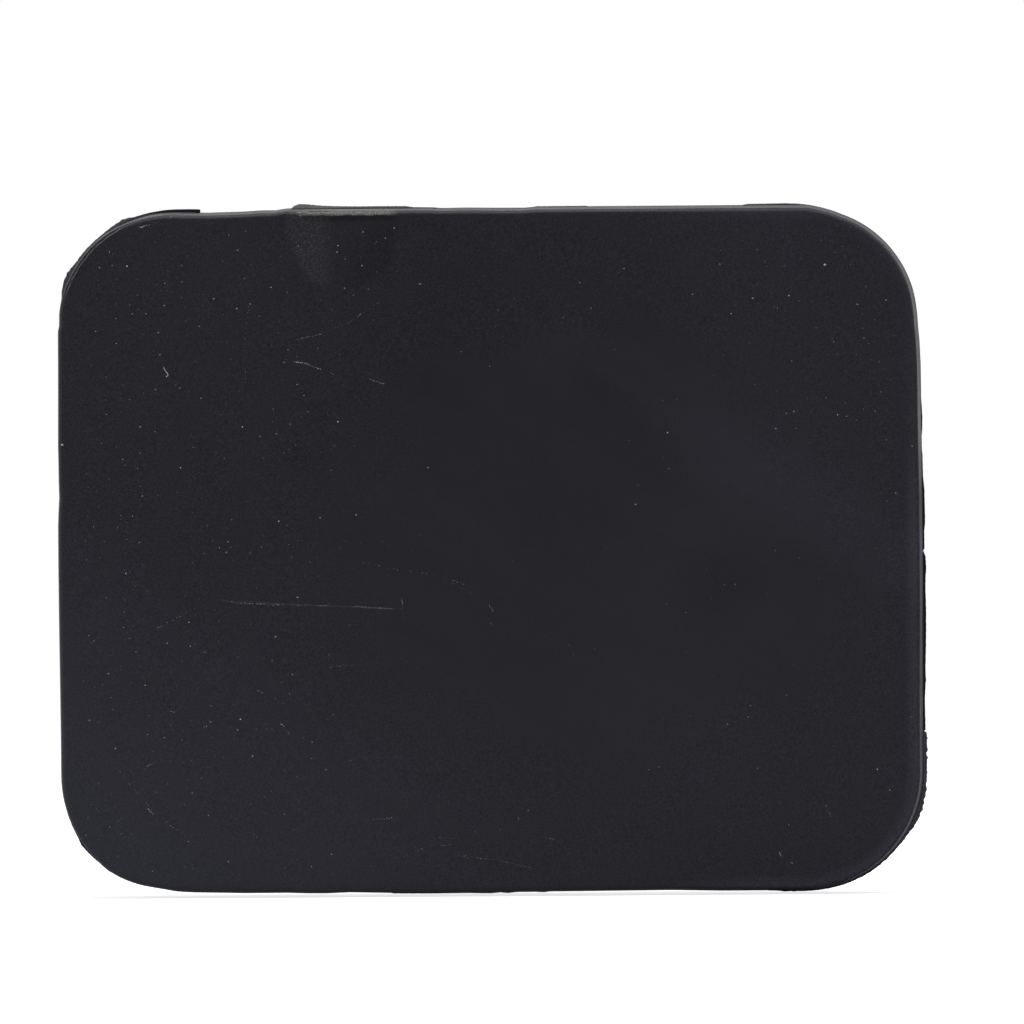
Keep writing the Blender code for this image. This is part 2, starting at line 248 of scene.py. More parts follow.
# Where the edge falls short of the outline, from sink or trimming: side, places of (along, how far short)
HOLLOWS = (
    ("top", (
        (-0.0315, 0.0), (-0.0285, 0.00015), (-0.0250, 0.00024), (-0.0226, 0.00029), (-0.0196, 0.00022),
        (-0.0182, 0.00013), (-0.0170, 0.00014), (-0.0164, 0.0),
    )),
    ("top", (
        (-0.0046, 0.0), (-0.0036, 0.00006), (-0.0020, 0.00003), (0.0010, 0.00007), (0.0030, 0.00008),
        (0.0038, 0.0),
    )),
    ("top", (
        (0.0258, 0.0), (0.0272, 0.00010), (0.0286, 0.00017), (0.0310, 0.00013), (0.0340, 0.00013),
        (0.0370, 0.00016), (0.0390, 0.00022), (0.0402, 0.00020), (0.0416, 0.00008), (0.0435, 0.0),
    )),
    ("bottom", (
        (-0.0185, 0.0), (-0.0165, 0.00004), (-0.0143, 0.00008), (-0.0110, 0.00006), (-0.0080, 0.00004),
        (-0.0045, 0.00003), (-0.0030, 0.0),
    )),
    ("bottom", (
        (0.0085, 0.0), (0.0115, 0.00007), (0.0134, 0.0), (0.0150, 0.00001), (0.0165, 0.00006),
        (0.0200, 0.00006), (0.0220, 0.00010), (0.0240, 0.00014), (0.0253, 0.00021), (0.0265, 0.00032),
        (0.0275, 0.00029), (0.0285, 0.00019), (0.0297, 0.00008), (0.0306, 0.0),
    )),
    ("left", (
        (0.0022, 0.0), (0.0035, 0.00005), (0.0044, 0.00010), (0.0056, 0.00006), (0.0075, 0.00003),
        (0.0085, 0.0),
    )),
    ("left", (
        (0.0178, 0.0), (0.0184, 0.00012), (0.0192, 0.00004), (0.0203, 0.0),
    )),
)
HOLLOW_FULL = 0.0009  # inset up to which the whole edge moves in with a hollow
HOLLOW_END = 0.0016  # inset from which nothing moves

# Sides in anticlockwise order from the upper right corner, which is the way the outline curve runs
SIDES = ("top", "left", "bottom", "right")

# Marks painted on the plastic, in millimetres across and up from the middle: kind, strength, half width, ends
MARKS = (
    ("haze", 0.34, 0.08, (-21.6, -3.9), (-7.0, -4.7)),
    ("haze", 1.00, 0.30, (-15.1, 27.2), (-14.4, 27.2)),
    ("black", 1.00, 0.07, (-16.3, 27.0), (-15.4, 27.6)),
    ("black", 1.00, 0.10, (-14.2, 27.3), (-12.8, 27.3)),
    # painted shade: a black line along the top edge left of the gate, where the flash lies in shade
    ("black", 1.00, 0.12, (-26.0, 27.1), (-23.3, 27.3)),
)
# The right skirt is rubbed matt, more so in its lower part, and its edge there is scuffed and painted paler
# as a soft sheen; places and insets in millimetres
WORN_LOWER = (9.0, 4.0)
WORN_RIGHT = (14.0, 22.0)
WORN_SKIRT = (0.55, 0.35)  # insets where it starts and is full
SCUFF_AND_SHEEN_REACH = (1.5, 0.45)  # the same for the paler scuff and painted sheen on the edge
SCUFF_AND_SHEEN_LIFT = 1.0
WORN_SHARES = (0.35, 0.85)  # how worn it is above and below
PLASTIC_IOR = 1.5
WORN_IOR = 1.16
PLASTIC_GLOSS = 0.14
DULL_GLOSS = 0.03
# The upper edge where the gate was sheared off: from and to, and its colours and strengths up the edge; its
# pale band is stress whitening, its dark, black and olive bands painted shade under the stub
SHEARED = (-14.8, -7.0)
SHEARED_BANDS_AND_SHADE = (
    (26.2, (0.012, 0.010, 0.011), 0.0),
    (26.4, (0.012, 0.010, 0.011), 0.6),
    (26.6, (0.004, 0.003, 0.005), 0.9),
    (26.9, (0.004, 0.003, 0.005), 0.9),
    (27.0, (0.120, 0.120, 0.120), 0.8),
    (27.2, (0.120, 0.120, 0.120), 0.8),
    (27.3, (0.055, 0.053, 0.042), 0.9),
    (27.5, (0.055, 0.053, 0.042), 0.9),
    (27.6, (0.004, 0.004, 0.004), 0.8),
)
BLUSH = (-11.5, 25.7)  # middle of the dull patch under the gate, in millimetres
BLUSH_RADIUS = 4.4
BLUSH_DIM_SIDE = (-24.4, -20.4)  # x less half of z, where its darker part starts and is full
COOL_LIGHT_TINT = (0.96, 1.08, 1.06)  # cool cast of the painted light towards the lower left corner
# Painted highlights and shade: nested light and dark lines along the upper left edge, standing for its
# fillet, wall and parting step
PAINTED_LINES_MIDDLE = (-32.5, 25.0)  # middle of the stretch of edge with nested light and dark lines
PAINTED_LINES_REACH = 4.5
PAINTED_LINES_GAP = 0.27  # from one of these lines to the next

# Bright specks of dust that can be told apart: millimetres across and up, and radius
SPECKS = (
    (-34.2, 8.7, 0.11), (27.1, 22.7, 0.12), (-10.0, 22.9, 0.09), (-13.6, 16.3, 0.07), (-16.0, 16.2, 0.06),
    (18.7, 22.8, 0.07), (17.7, 21.2, 0.08), (16.5, 20.4, 0.07), (11.0, 22.5, 0.06), (29.7, 19.5, 0.07),
    (31.1, 19.3, 0.06), (31.4, 14.9, 0.08), (30.2, 16.8, 0.06), (33.4, 10.4, 0.06), (34.0, 8.1, 0.07),
    (24.4, 15.0, 0.05), (23.1, 9.6, 0.05), (24.7, 9.6, 0.06), (26.3, 9.0, 0.05), (32.1, -0.1, 0.06),
    (33.8, -13.6, 0.06), (27.5, -15.9, 0.06), (26.9, -20.7, 0.05), (20.9, -12.6, 0.05),
    (20.7, -13.5, 0.05), (-25.6, 22.6, 0.06), (-26.9, 20.4, 0.05), (-19.0, 19.9, 0.06),
    (-29.8, 18.8, 0.06), (-29.0, 17.0, 0.06), (-34.1, 18.5, 0.06), (-24.7, 13.2, 0.05),
    (-27.9, 10.1, 0.06), (-26.7, 9.7, 0.05), (-24.7, 6.8, 0.07), (-31.3, 3.7, 0.06), (-29.5, 3.0, 0.06),
    (-20.7, 0.4, 0.07), (-20.6, 2.6, 0.05), (-13.5, 2.7, 0.05), (-28.4, -2.7, 0.07), (-31.3, -6.8, 0.06),
    (-30.8, -5.4, 0.06), (-24.1, -5.6, 0.07), (-16.5, -8.8, 0.07), (-23.4, -10.9, 0.05),
    (-25.4, -12.8, 0.05), (-24.7, -14.3, 0.05), (-27.5, -14.6, 0.05), (-30.1, -15.7, 0.06),
    (-24.3, -23.2, 0.06), (-12.8, -24.3, 0.05), (-12.7, -20.9, 0.07), (4.6, -24.9, 0.05),
    (-12.6, 6.5, 0.05), (-8.9, 9.1, 0.05), (-5.3, 21.4, 0.06), (-12.7, 25.2, 0.07), (-15.1, 24.5, 0.06),
    (-14.9, 24.2, 0.05), (-12.0, 24.0, 0.06), (-9.9, 25.6, 0.06), (-8.8, 24.8, 0.06), (-8.1, 25.1, 0.06),
    (-7.4, 25.9, 0.06), (-5.5, 26.6, 0.06), (-5.4, 21.4, 0.06), (-9.5, 21.0, 0.05),
)

# Lines of crumbs left where something rubbed the face, in millimetres: gap, radius, and the line's points
CRUMB_LINES = (
    (0.12, 0.030, ((-21.6, -3.8), (-20.3, -4.1), (-15.9, -4.3), (-11.1, -4.4), (-7.0, -4.7))),
    (0.10, 0.030, ((-7.0, -3.6), (-6.9, -5.6))),
    (0.25, 0.025, ((-26.5, -6.0), (-24.1, -4.7))),
    (0.25, 0.022, ((-19.1, 19.8), (-19.5, 16.9), (-19.4, 13.6))),
    (0.12, 0.028, ((-15.4, 17.0), (-13.4, 17.4), (-11.0, 18.4), (-8.3, 20.2))),
    (0.08, 0.034, ((-16.4, 15.1), (-16.1, 15.4))),
    (0.08, 0.036, ((-15.5, 15.2), (-14.6, 15.1), (-13.4, 14.6))),
    (0.08, 0.036, ((-12.9, 14.5), (-12.3, 14.2))),
    (0.08, 0.034, ((-9.5, 13.8), (-8.3, 13.4))),
    (0.06, 0.042, ((-18.6, -11.1), (-18.2, -11.3))),
    (0.06, 0.040, ((-16.8, -13.8), (-16.5, -14.0))),
    (0.06, 0.036, ((-16.3, -14.3), (-16.1, -14.5))),
    (0.07, 0.042, ((-27.6, -17.2), (-26.8, -16.7))),
    (0.06, 0.040, ((-27.7, -20.0), (-27.5, -20.3))),
    (0.07, 0.036, ((-27.6, -20.5), (-27.1, -21.0))),
    (0.30, 0.026, ((-30.9, -16.2), (-28.5, -19.1), (-26.6, -21.3), (-23.8, -23.2))),
    (0.18, 0.028, ((-7.0, -24.5), (-5.0, -23.7), (-3.1, -23.6))),
    (0.08, 0.036, ((-4.1, -23.0), (-3.0, -23.1))),
    (0.18, 0.027, ((-2.6, -24.5), (0.3, -24.8), (3.6, -25.6))),
    (0.14, 0.028, ((-10.0, -21.6), (-7.9, -21.4))),
    (0.11, 0.030, ((4.4, -23.1), (5.1, -23.2))),
    (0.06, 0.040, ((27.1, -21.1), (27.3, -21.6))),
    (0.06, 0.038, ((23.1, -24.4), (23.3, -24.7))),
    (0.06, 0.036, ((24.0, -25.2), (24.2, -25.3))),
    (0.09, 0.031, ((0.0, -4.4), (0.3, -4.9))),
    (0.09, 0.031, ((-0.1, -5.4), (0.2, -5.9))),
    (0.13, 0.028, ((-2.9, -2.4), (-2.0, -2.7))),
    (0.45, 0.031, ((-10.1, -0.9), (-7.3, -1.5), (-4.4, -1.9), (-1.5, -3.4))),
    (0.25, 0.027, ((-13.2, -9.3), (-10.9, -9.1))),
    (0.06, 0.045, ((-27.9, 26.1), (-27.0, 26.3))),
    (0.06, 0.040, ((-26.8, 26.4), (-26.4, 26.5))),
    (0.06, 0.040, ((-25.5, 26.7), (-25.2, 27.1))),
    (0.07, 0.045, ((-15.0, 27.1), (-14.7, 26.4))),
    (0.10, 0.045, ((-15.2, 27.2), (-14.2, 27.1))),
    (0.14, 0.035, ((-14.2, 27.1), (-7.8, 27.0))),
)
CRUMB_JITTER = 0.025
SPECK_MARGIN = 0.94  # share of the face over which the fine dust lies
SPECK_DENSITY = 1700000.0  # specks to a square metre where the dust is thickest
SPECK_FLATNESS = 0.45
SPECK_SMALLEST = 0.000017
SPECK_LARGEST = 0.00006
SPECK_RARITY = 4.0  # the higher, the fewer of the fine specks are large
DUST_LEFT = (-0.005, -0.022)  # across the face, where dust starts and is full
DUST_CORNER = (0.030, 0.044)  # the same towards the upper right corner
DUST_CORNER_SHARE = 0.8
DUST_LEAST = 0.08
DUST_PATCHES = 160.0  # patches of dust to a metre
DUST_GRID = (60, 48)
FIBRE = ((-26.0, 14.9), (-25.9, 14.6), (-25.7, 14.4), (-25.6, 14.2), (-25.8, 14.1))
FIBRE_RADIUS = 0.00003
DARK_DUST = (0.05, 0.05, 0.052, 1.0)
SEED = 7

# Lamps: name, place, spot that they look at, size, and strength, 1 being a white surface in full light
LAMPS = (
    ("top_lamp", (0.0, -0.08, 0.50), (0.0, 0.0, 0.0), 0.36, 7.5),
    ("side_lamp", (-0.60, -0.15, 0.10), (0.0, 0.0, 0.0), 0.30, 3.0),
    ("edge_lamp", (0.085, 0.01, 0.075), (0.035, 0.0, 0.015), 0.05, 2.2),
)
ROOM_LEVEL = 0.45
ROOM_BEHIND = (-0.1, 0.4)  # how far back a direction points where the mirrored white starts and is full
FLOOR_GLOW = 0.75  # the floor's own light, seen by the camera, and behind the cover also in what it mirrors
FLOOR_BEHIND = (-0.02, 0.06)  # how far back the floor's mirrored light starts and is full
FLOOR_HALF = 3.0

# Camera and picture
CAMERA_DISTANCE = 1.2
CAMERA_CLIP = (0.01, 10.0)
SENSOR = 36.0
PICTURE = 1024
PIXELS_PER_MM = 12.4
AIM_PIXEL = (490.5, 549.6)  # where the middle of the cover lies in the picture
CAMERA_AZIMUTH = 1.1
CAMERA_ELEVATION = 0.3
CAMERA_ROLL = -0.42


def panel_length(name, description, default, least, precision=4):
    """A length in the panel."""
    return bpy.props.FloatProperty(
        name=name, description=description, default=default, min=least, unit="LENGTH", precision=precision)


def panel_colour(name, description, default):
    """A colour in the panel."""
    return bpy.props.FloatVectorProperty(
        name=name, description=description, default=default, subtype="COLOR", size=3, min=0.0, max=1.0)


class CoverSizes(bpy.types.PropertyGroup):
    """Sizes that someone might change."""

    width: panel_length("Width", "Width of the rim", WIDTH, 0.03)
    height: panel_length("Height", "Height of the rim", HEIGHT, 0.03)
    corner_radius: panel_length("Corner Radius", "Radius of the outline's corners", CORNER_RADIUS, 0.004)
    depth: panel_length("Depth", "From the middle of the face back to the rim", DEPTH, 0.005)
    crown_across: panel_length("Crown Across", "Radius of the face from left to right", CROWN_ACROSS, 0.1, 2)
    crown_up: panel_length("Crown Up", "Radius of the face from bottom to top", CROWN_UP, 0.1, 2)
    face_fillet: panel_length("Face Edge", "Rounding of the face's edge", FACE_FILLET, 0.0001, 5)
    speck_density: bpy.props.FloatProperty(
        name="Dust", description="Specks to a square metre at the thickest", default=SPECK_DENSITY, min=0.0)


class CoverColours(bpy.types.PropertyGroup):
    """Colours of the cover, its marks and the stage."""

    plastic: panel_colour("Plastic", "Colour of the moulded plastic", (0.0145, 0.0137, 0.0185))
    haze: panel_colour("Haze", "Colour of scuffs, scratches and the dull patch", (0.085, 0.085, 0.092))
    # painted shade: the flash colour is darker than the plastic, and also paints the black marks
    flash: panel_colour("Flash", "Colour of the thin glossy flash", (0.0022, 0.0021, 0.0026))
    dust: panel_colour("Dust", "Colour of the brightest dust", (0.42, 0.42, 0.44))
    floor: panel_colour("Floor", "Colour of the floor", (0.62, 0.62, 0.64))


def join(tree, value, socket):
    """Feeds a socket from another node, or sets it."""
    if isinstance(value, bpy.types.NodeSocket):
        tree.links.new(value, socket)
    else:
        socket.default_value = value


def put(tree, kind, sockets=None, **settings):
    """A new node with its settings; sockets gives its inputs by name."""
    node = tree.nodes.new(kind)
    for name, value in settings.items():
        setattr(node, name, value)
    for name, value in (sockets or {}).items():
        join(tree, value, next(s for s in node.inputs if s.name == name and s.enabled))
    return node


def calc(tree, operation, *values):
    """Result of a Math node."""
    node = put(tree, "ShaderNodeMath", operation=operation)
    for socket, value in zip(node.inputs, values):
        join(tree, value, socket)
    return node.outputs[0]


def times(tree, first, *others):
    """The product of values."""
    for value in others:
        first = calc(tree, "MULTIPLY", first, value)
    return first


def plus(tree, first, *others):
    """The sum of values."""
    for value in others:
        first = calc(tree, "ADD", first, value)
    return first


def minus(tree, first, second):
    """The first value less the second."""
    return calc(tree, "SUBTRACT", first, second)


def calc_vector(tree, operation, *values):
    """Result of a Vector Math node, a number for lengths and dot products."""
    node = put(tree, "ShaderNodeVectorMath", operation=operation)
    for socket, value in zip(node.inputs, values):
        join(tree, value, socket)
    return node.outputs["Value" if operation in ("LENGTH", "DISTANCE", "DOT_PRODUCT") else "Vector"]


def stretched(tree, vector, share):
    """A vector times a number."""
    sockets = {"Vector": vector, "Scale": share}
    return put(tree, "ShaderNodeVectorMath", sockets, operation="SCALE").outputs["Vector"]


def ranged(tree, value, low, high, to_low=0.0, to_high=1.0, curve="LINEAR"):
    """A value moved from one range to another, and held inside it."""
    sockets = {"Value": value, "From Min": low, "From Max": high, "To Min": to_low, "To Max": to_high}
    return put(tree, "ShaderNodeMapRange", sockets, interpolation_type=curve).outputs["Result"]


def split(tree, vector):
    """The three parts of a vector."""
    return put(tree, "ShaderNodeSeparateXYZ", {"Vector": vector}).outputs


def packed(tree, x, y, z):
    """A vector from its three parts."""
    return put(tree, "ShaderNodeCombineXYZ", {"X": x, "Y": y, "Z": z}).outputs["Vector"]


def takes(tree, name, kind, default=None):
    """A named input of a tree, and the socket inside the tree that gives it."""
    item = tree.interface.new_socket(name=name, in_out="INPUT", socket_type=kind)
    if default is not None:
        item.default_value = default
    entry = tree.nodes.get("Group Input") or tree.nodes.new("NodeGroupInput")
    return entry.outputs[name]


def gives(tree, name, kind, value):
    """A named output of a tree."""
    tree.interface.new_socket(name=name, in_out="OUTPUT", socket_type=kind)
    leaving = tree.nodes.get("Group Output") or tree.nodes.new("NodeGroupOutput")
    tree.links.new(value, leaving.inputs[name])


def finished(tree, geometry, material):
    """Ends a geometry tree: real geometry with its material."""
    real = put(tree, "GeometryNodeRealizeInstances", {"Geometry": geometry}).outputs["Geometry"]
    coated = put(tree, "GeometryNodeSetMaterial", {"Geometry": real, "Material": material})
    gives(tree, "Geometry", "NodeSocketGeometry", coated.outputs["Geometry"])
    return tree


def merged(tree, geometry):
    """Geometry whose points that lie on each other are one."""
    return put(tree, "GeometryNodeMergeByDistance", {"Geometry": geometry, "Distance": MERGE}).outputs[0]


def sampled_at(tree, geometry, vector, index):
    """A vector as it is at the point of a geometry that has this index."""
    asked = {"Geometry": geometry, "Value": vector, "Index": index}
    node = put(tree, "GeometryNodeSampleIndex", asked, data_type="FLOAT_VECTOR", domain="POINT")
    return node.outputs["Value"]


def row_start(tree, count, spacing):
    """Place of the first thing of a row that is centred on the middle."""
    return times(tree, minus(tree, count, 1.0), spacing, -0.5)


def rim_outline_tree():
    """The rim's outline as a closed curve in X and Y, run anticlockwise from the upper right corner."""
    tree = bpy.data.node_groups.new("Rim Outline", "GeometryNodeTree")
    width = takes(tree, "Width", "NodeSocketFloat", WIDTH)
    height = takes(tree, "Height", "NodeSocketFloat", HEIGHT)
    radius = takes(tree, "Corner Radius", "NodeSocketFloat", CORNER_RADIUS)
    bow = takes(tree, "Side Bow", "NodeSocketFloat", SIDE_BOW)
    spans = {"Width": width, "Height": height}
    plain = put(tree, "GeometryNodeCurvePrimitiveQuadrilateral", spans).outputs[0]
    corners = {"Curve": plain, "Count": CORNER_POINTS, "Radius": radius}
    rounded = put(tree, "GeometryNodeFilletCurve", corners, mode="POLY").outputs[0]
    fine = {"Curve": rounded, "Count": STATIONS}
    even = put(tree, "GeometryNodeResampleCurve", fine, mode="COUNT").outputs[0]
    place = split(tree, put(tree, "GeometryNodeInputPosition").outputs[0])
    straight = minus(tree, height, times(tree, radius, 2.0))
    along = ranged(tree, calc(tree, "DIVIDE", place["Y"], straight), -0.5, 0.5, -math.pi / 2, math.pi / 2)
    swell = calc(tree, "POWER", calc(tree, "ABSOLUTE", calc(tree, "COSINE", along)), 2.0)
    push = times(tree, swell, bow, calc(tree, "SIGN", place["X"]))
    bowed = put(tree, "GeometryNodeSetPosition", {"Geometry": even, "Offset": packed(tree, push, 0.0, 0.0)})
    gives(tree, "Curve", "NodeSocketGeometry", bowed.outputs[0])
    return tree


def outline_inputs(tree):
    """The outline's own inputs, passed on to a tree that uses it."""
    return {
        "Width": takes(tree, "Width", "NodeSocketFloat", WIDTH),
        "Height": takes(tree, "Height", "NodeSocketFloat", HEIGHT),
        "Corner Radius": takes(tree, "Corner Radius", "NodeSocketFloat", CORNER_RADIUS),
        "Side Bow": takes(tree, "Side Bow", "NodeSocketFloat", SIDE_BOW),
    }


def outline_sample(tree, sockets, mode, value):
    """Point and outward normal of the outline at a factor or a length."""
    outline = put(tree, "GeometryNodeGroup", node_tree=bpy.data.node_groups["Rim Outline"])
    for name, source in sockets.items():
        tree.links.new(source, outline.inputs[name])
    asked = {"Curves": outline.outputs["Curve"], mode.title(): value}
    sample = put(tree, "GeometryNodeSampleCurve", asked, mode=mode, use_all_curves=True)
    outward = calc_vector(tree, "CROSS_PRODUCT", sample.outputs["Tangent"], (0.0, 0.0, 1.0))
    return sample.outputs["Position"], calc_vector(tree, "NORMALIZE", outward)


def outline_loft_tree():
    """Lofts a drawn section round the outline.

    The section is the object's own mesh. Its x is the inset from the outline, its y the depth, and its z how
    far the ring is drawn in: 0 at full size, 1 at the middle. The hollows are a mesh with a point for each
    station, whose y is how far the edge falls short there.
    """
    tree = bpy.data.node_groups.new("Outline Loft", "GeometryNodeTree")
    section = takes(tree, "Section", "NodeSocketGeometry")
    sockets = outline_inputs(tree)
    stations = takes(tree, "Stations", "NodeSocketInt", STATIONS)
    hollows = takes(tree, "Hollows", "NodeSocketObject")
    material = takes(tree, "Material", "NodeSocketMaterial")
    rows = put(tree, "GeometryNodeAttributeDomainSize", {"Geometry": section}).outputs["Point Count"]
    columns = plus(tree, stations, 1.0)
    grid = put(tree, "GeometryNodeMeshGrid", {"Vertices X": rows, "Vertices Y": columns}).outputs["Mesh"]
    index = put(tree, "GeometryNodeInputIndex").outputs[0]
    row = calc(tree, "FLOOR", calc(tree, "DIVIDE", plus(tree, index, 0.5), columns))
    station = minus(tree, index, times(tree, row, columns))
    position = put(tree, "GeometryNodeInputPosition").outputs[0]
    inset, depth, drawn_in = split(tree, sampled_at(tree, section, position, row))
    edge, normal = outline_sample(tree, sockets, "FACTOR", calc(tree, "DIVIDE", station, stations))
    short = put(tree, "GeometryNodeObjectInfo", {"Object": hollows}).outputs["Geometry"]
    fall = sampled_at(tree, short, position, station)
    share = ranged(tree, inset, HOLLOW_FULL, HOLLOW_END, 1.0, 0.0)
    inward = plus(tree, inset, times(tree, split(tree, fall)["Y"], share))
    ring = calc_vector(tree, "SUBTRACT", edge, stretched(tree, normal, inward))
    place = split(tree, stretched(tree, ring, minus(tree, 1.0, drawn_in)))
    target = packed(tree, place["X"], depth, place["Y"])
    lofted = put(tree, "GeometryNodeSetPosition", {"Geometry": grid, "Position": target}).outputs[0]
    return finished(tree, merged(tree, lofted), material)


def rib_row_tree():
    """A row of straight ribs with one section, which is the object's own mesh, drawn in X and Y."""
    tree = bpy.data.node_groups.new("Rib Row", "GeometryNodeTree")
    section = takes(tree, "Section", "NodeSocketGeometry")
    length = takes(tree, "Length", "NodeSocketFloat", HEIGHT)
    count = takes(tree, "Count", "NodeSocketInt", RIB_COUNT)
    spacing = takes(tree, "Spacing", "NodeSocketFloat", RIB_SPACING)
    turn = takes(tree, "Turn", "NodeSocketFloat", 0.0)
    step = takes(tree, "Step", "NodeSocketFloat", WALL_STEP)
    material = takes(tree, "Material", "NodeSocketMaterial")
    half = calc(tree, "DIVIDE", length, 2.0)
    start = packed(tree, 0.0, 0.0, times(tree, half, -1.0))
    ends = {"Start": start, "End": packed(tree, 0.0, 0.0, half)}
    line = put(tree, "GeometryNodeCurvePrimitiveLine", ends).outputs[0]
    path = put(tree, "GeometryNodeResampleCurve", {"Curve": line, "Length": step}, mode="LENGTH").outputs[0]
    profile = put(tree, "GeometryNodeMeshToCurve", {"Mesh": section}).outputs[0]
    swept = {"Curve": path, "Profile Curve": profile, "Fill Caps": True}
    rib = put(tree, "GeometryNodeCurveToMesh", swept).outputs[0]
    places = {"Count": count, "Start Location": packed(tree, row_start(tree, count, spacing), 0.0, 0.0)}
    places["Offset"] = packed(tree, spacing, 0.0, 0.0)
    row = put(tree, "GeometryNodeMeshLine", places).outputs[0]
    stood = {"Points": row, "Instance": rib, "Rotation": packed(tree, 0.0, turn, 0.0)}
    ribs = put(tree, "GeometryNodeInstanceOnPoints", stood).outputs[0]
    return finished(tree, ribs, material)


def clip_row_tree():
    """A row of clips up the side of the fence. The object's own mesh is one clip's profile, a flat face."""
    tree = bpy.data.node_groups.new("Clip Row", "GeometryNodeTree")
    profile = takes(tree, "Profile", "NodeSocketGeometry")
    width = takes(tree, "Width", "NodeSocketFloat", CLIP_WIDTH)
    count = takes(tree, "Count", "NodeSocketInt", CLIP_COUNT)
    spacing = takes(tree, "Spacing", "NodeSocketFloat", CLIP_SPACING)
    material = takes(tree, "Material", "NodeSocketMaterial")
    up = packed(tree, 0.0, 0.0, 1.0)
    drawn = {"Mesh": profile, "Offset": up, "Offset Scale": width, "Individual": False}
    raised = put(tree, "GeometryNodeExtrudeMesh", drawn, mode="FACES").outputs["Mesh"]
    base = put(tree, "GeometryNodeFlipFaces", {"Mesh": profile}).outputs[0]
    both = put(tree, "GeometryNodeJoinGeometry")
    tree.links.new(raised, both.inputs[0])
    tree.links.new(base, both.inputs[0])
    down = packed(tree, 0.0, 0.0, times(tree, width, -0.5))
    clip = {"Geometry": merged(tree, both.outputs[0]), "Offset": down}
    centred = put(tree, "GeometryNodeSetPosition", clip).outputs[0]
    places = {"Count": count, "Start Location": packed(tree, 0.0, 0.0, row_start(tree, count, spacing))}
    places["Offset"] = packed(tree, 0.0, 0.0, spacing)
    row = put(tree, "GeometryNodeMeshLine", places).outputs[0]
    clips = put(tree, "GeometryNodeInstanceOnPoints", {"Points": row, "Instance": centred}).outputs[0]
    return finished(tree, clips, material)


def crown_at(tree, x, z, across, up):
    """How far the face falls back from its middle at x, z."""
    fall_x = calc(tree, "DIVIDE", times(tree, x, x), times(tree, across, 2.0))
    fall_z = calc(tree, "DIVIDE", times(tree, z, z), times(tree, up, 2.0))
    return plus(tree, fall_x, fall_z)


def crown_tree():
    """Bends the face plate and all that stands on it back from the middle, and leaves the rim plane flat."""
    tree = bpy.data.node_groups.new("Crown", "GeometryNodeTree")
    flat = takes(tree, "Geometry", "NodeSocketGeometry")
    across = takes(tree, "Radius Across", "NodeSocketFloat", CROWN_ACROSS)
    up = takes(tree, "Radius Up", "NodeSocketFloat", CROWN_UP)
    root = takes(tree, "Root Level", "NodeSocketFloat", ROOT_LEVEL)
    free = takes(tree, "Free Level", "NodeSocketFloat", FREE_LEVEL)
    material = takes(tree, "Material", "NodeSocketMaterial")
    place = split(tree, put(tree, "GeometryNodeInputPosition").outputs[0])
    share = ranged(tree, place["Y"], root, free, 1.0, 0.0)
    fall = times(tree, crown_at(tree, place["X"], place["Z"], across, up), share)
    bent = {"Geometry": flat, "Offset": packed(tree, 0.0, fall, 0.0)}
    return finished(tree, put(tree, "GeometryNodeSetPosition", bent).outputs[0], material)


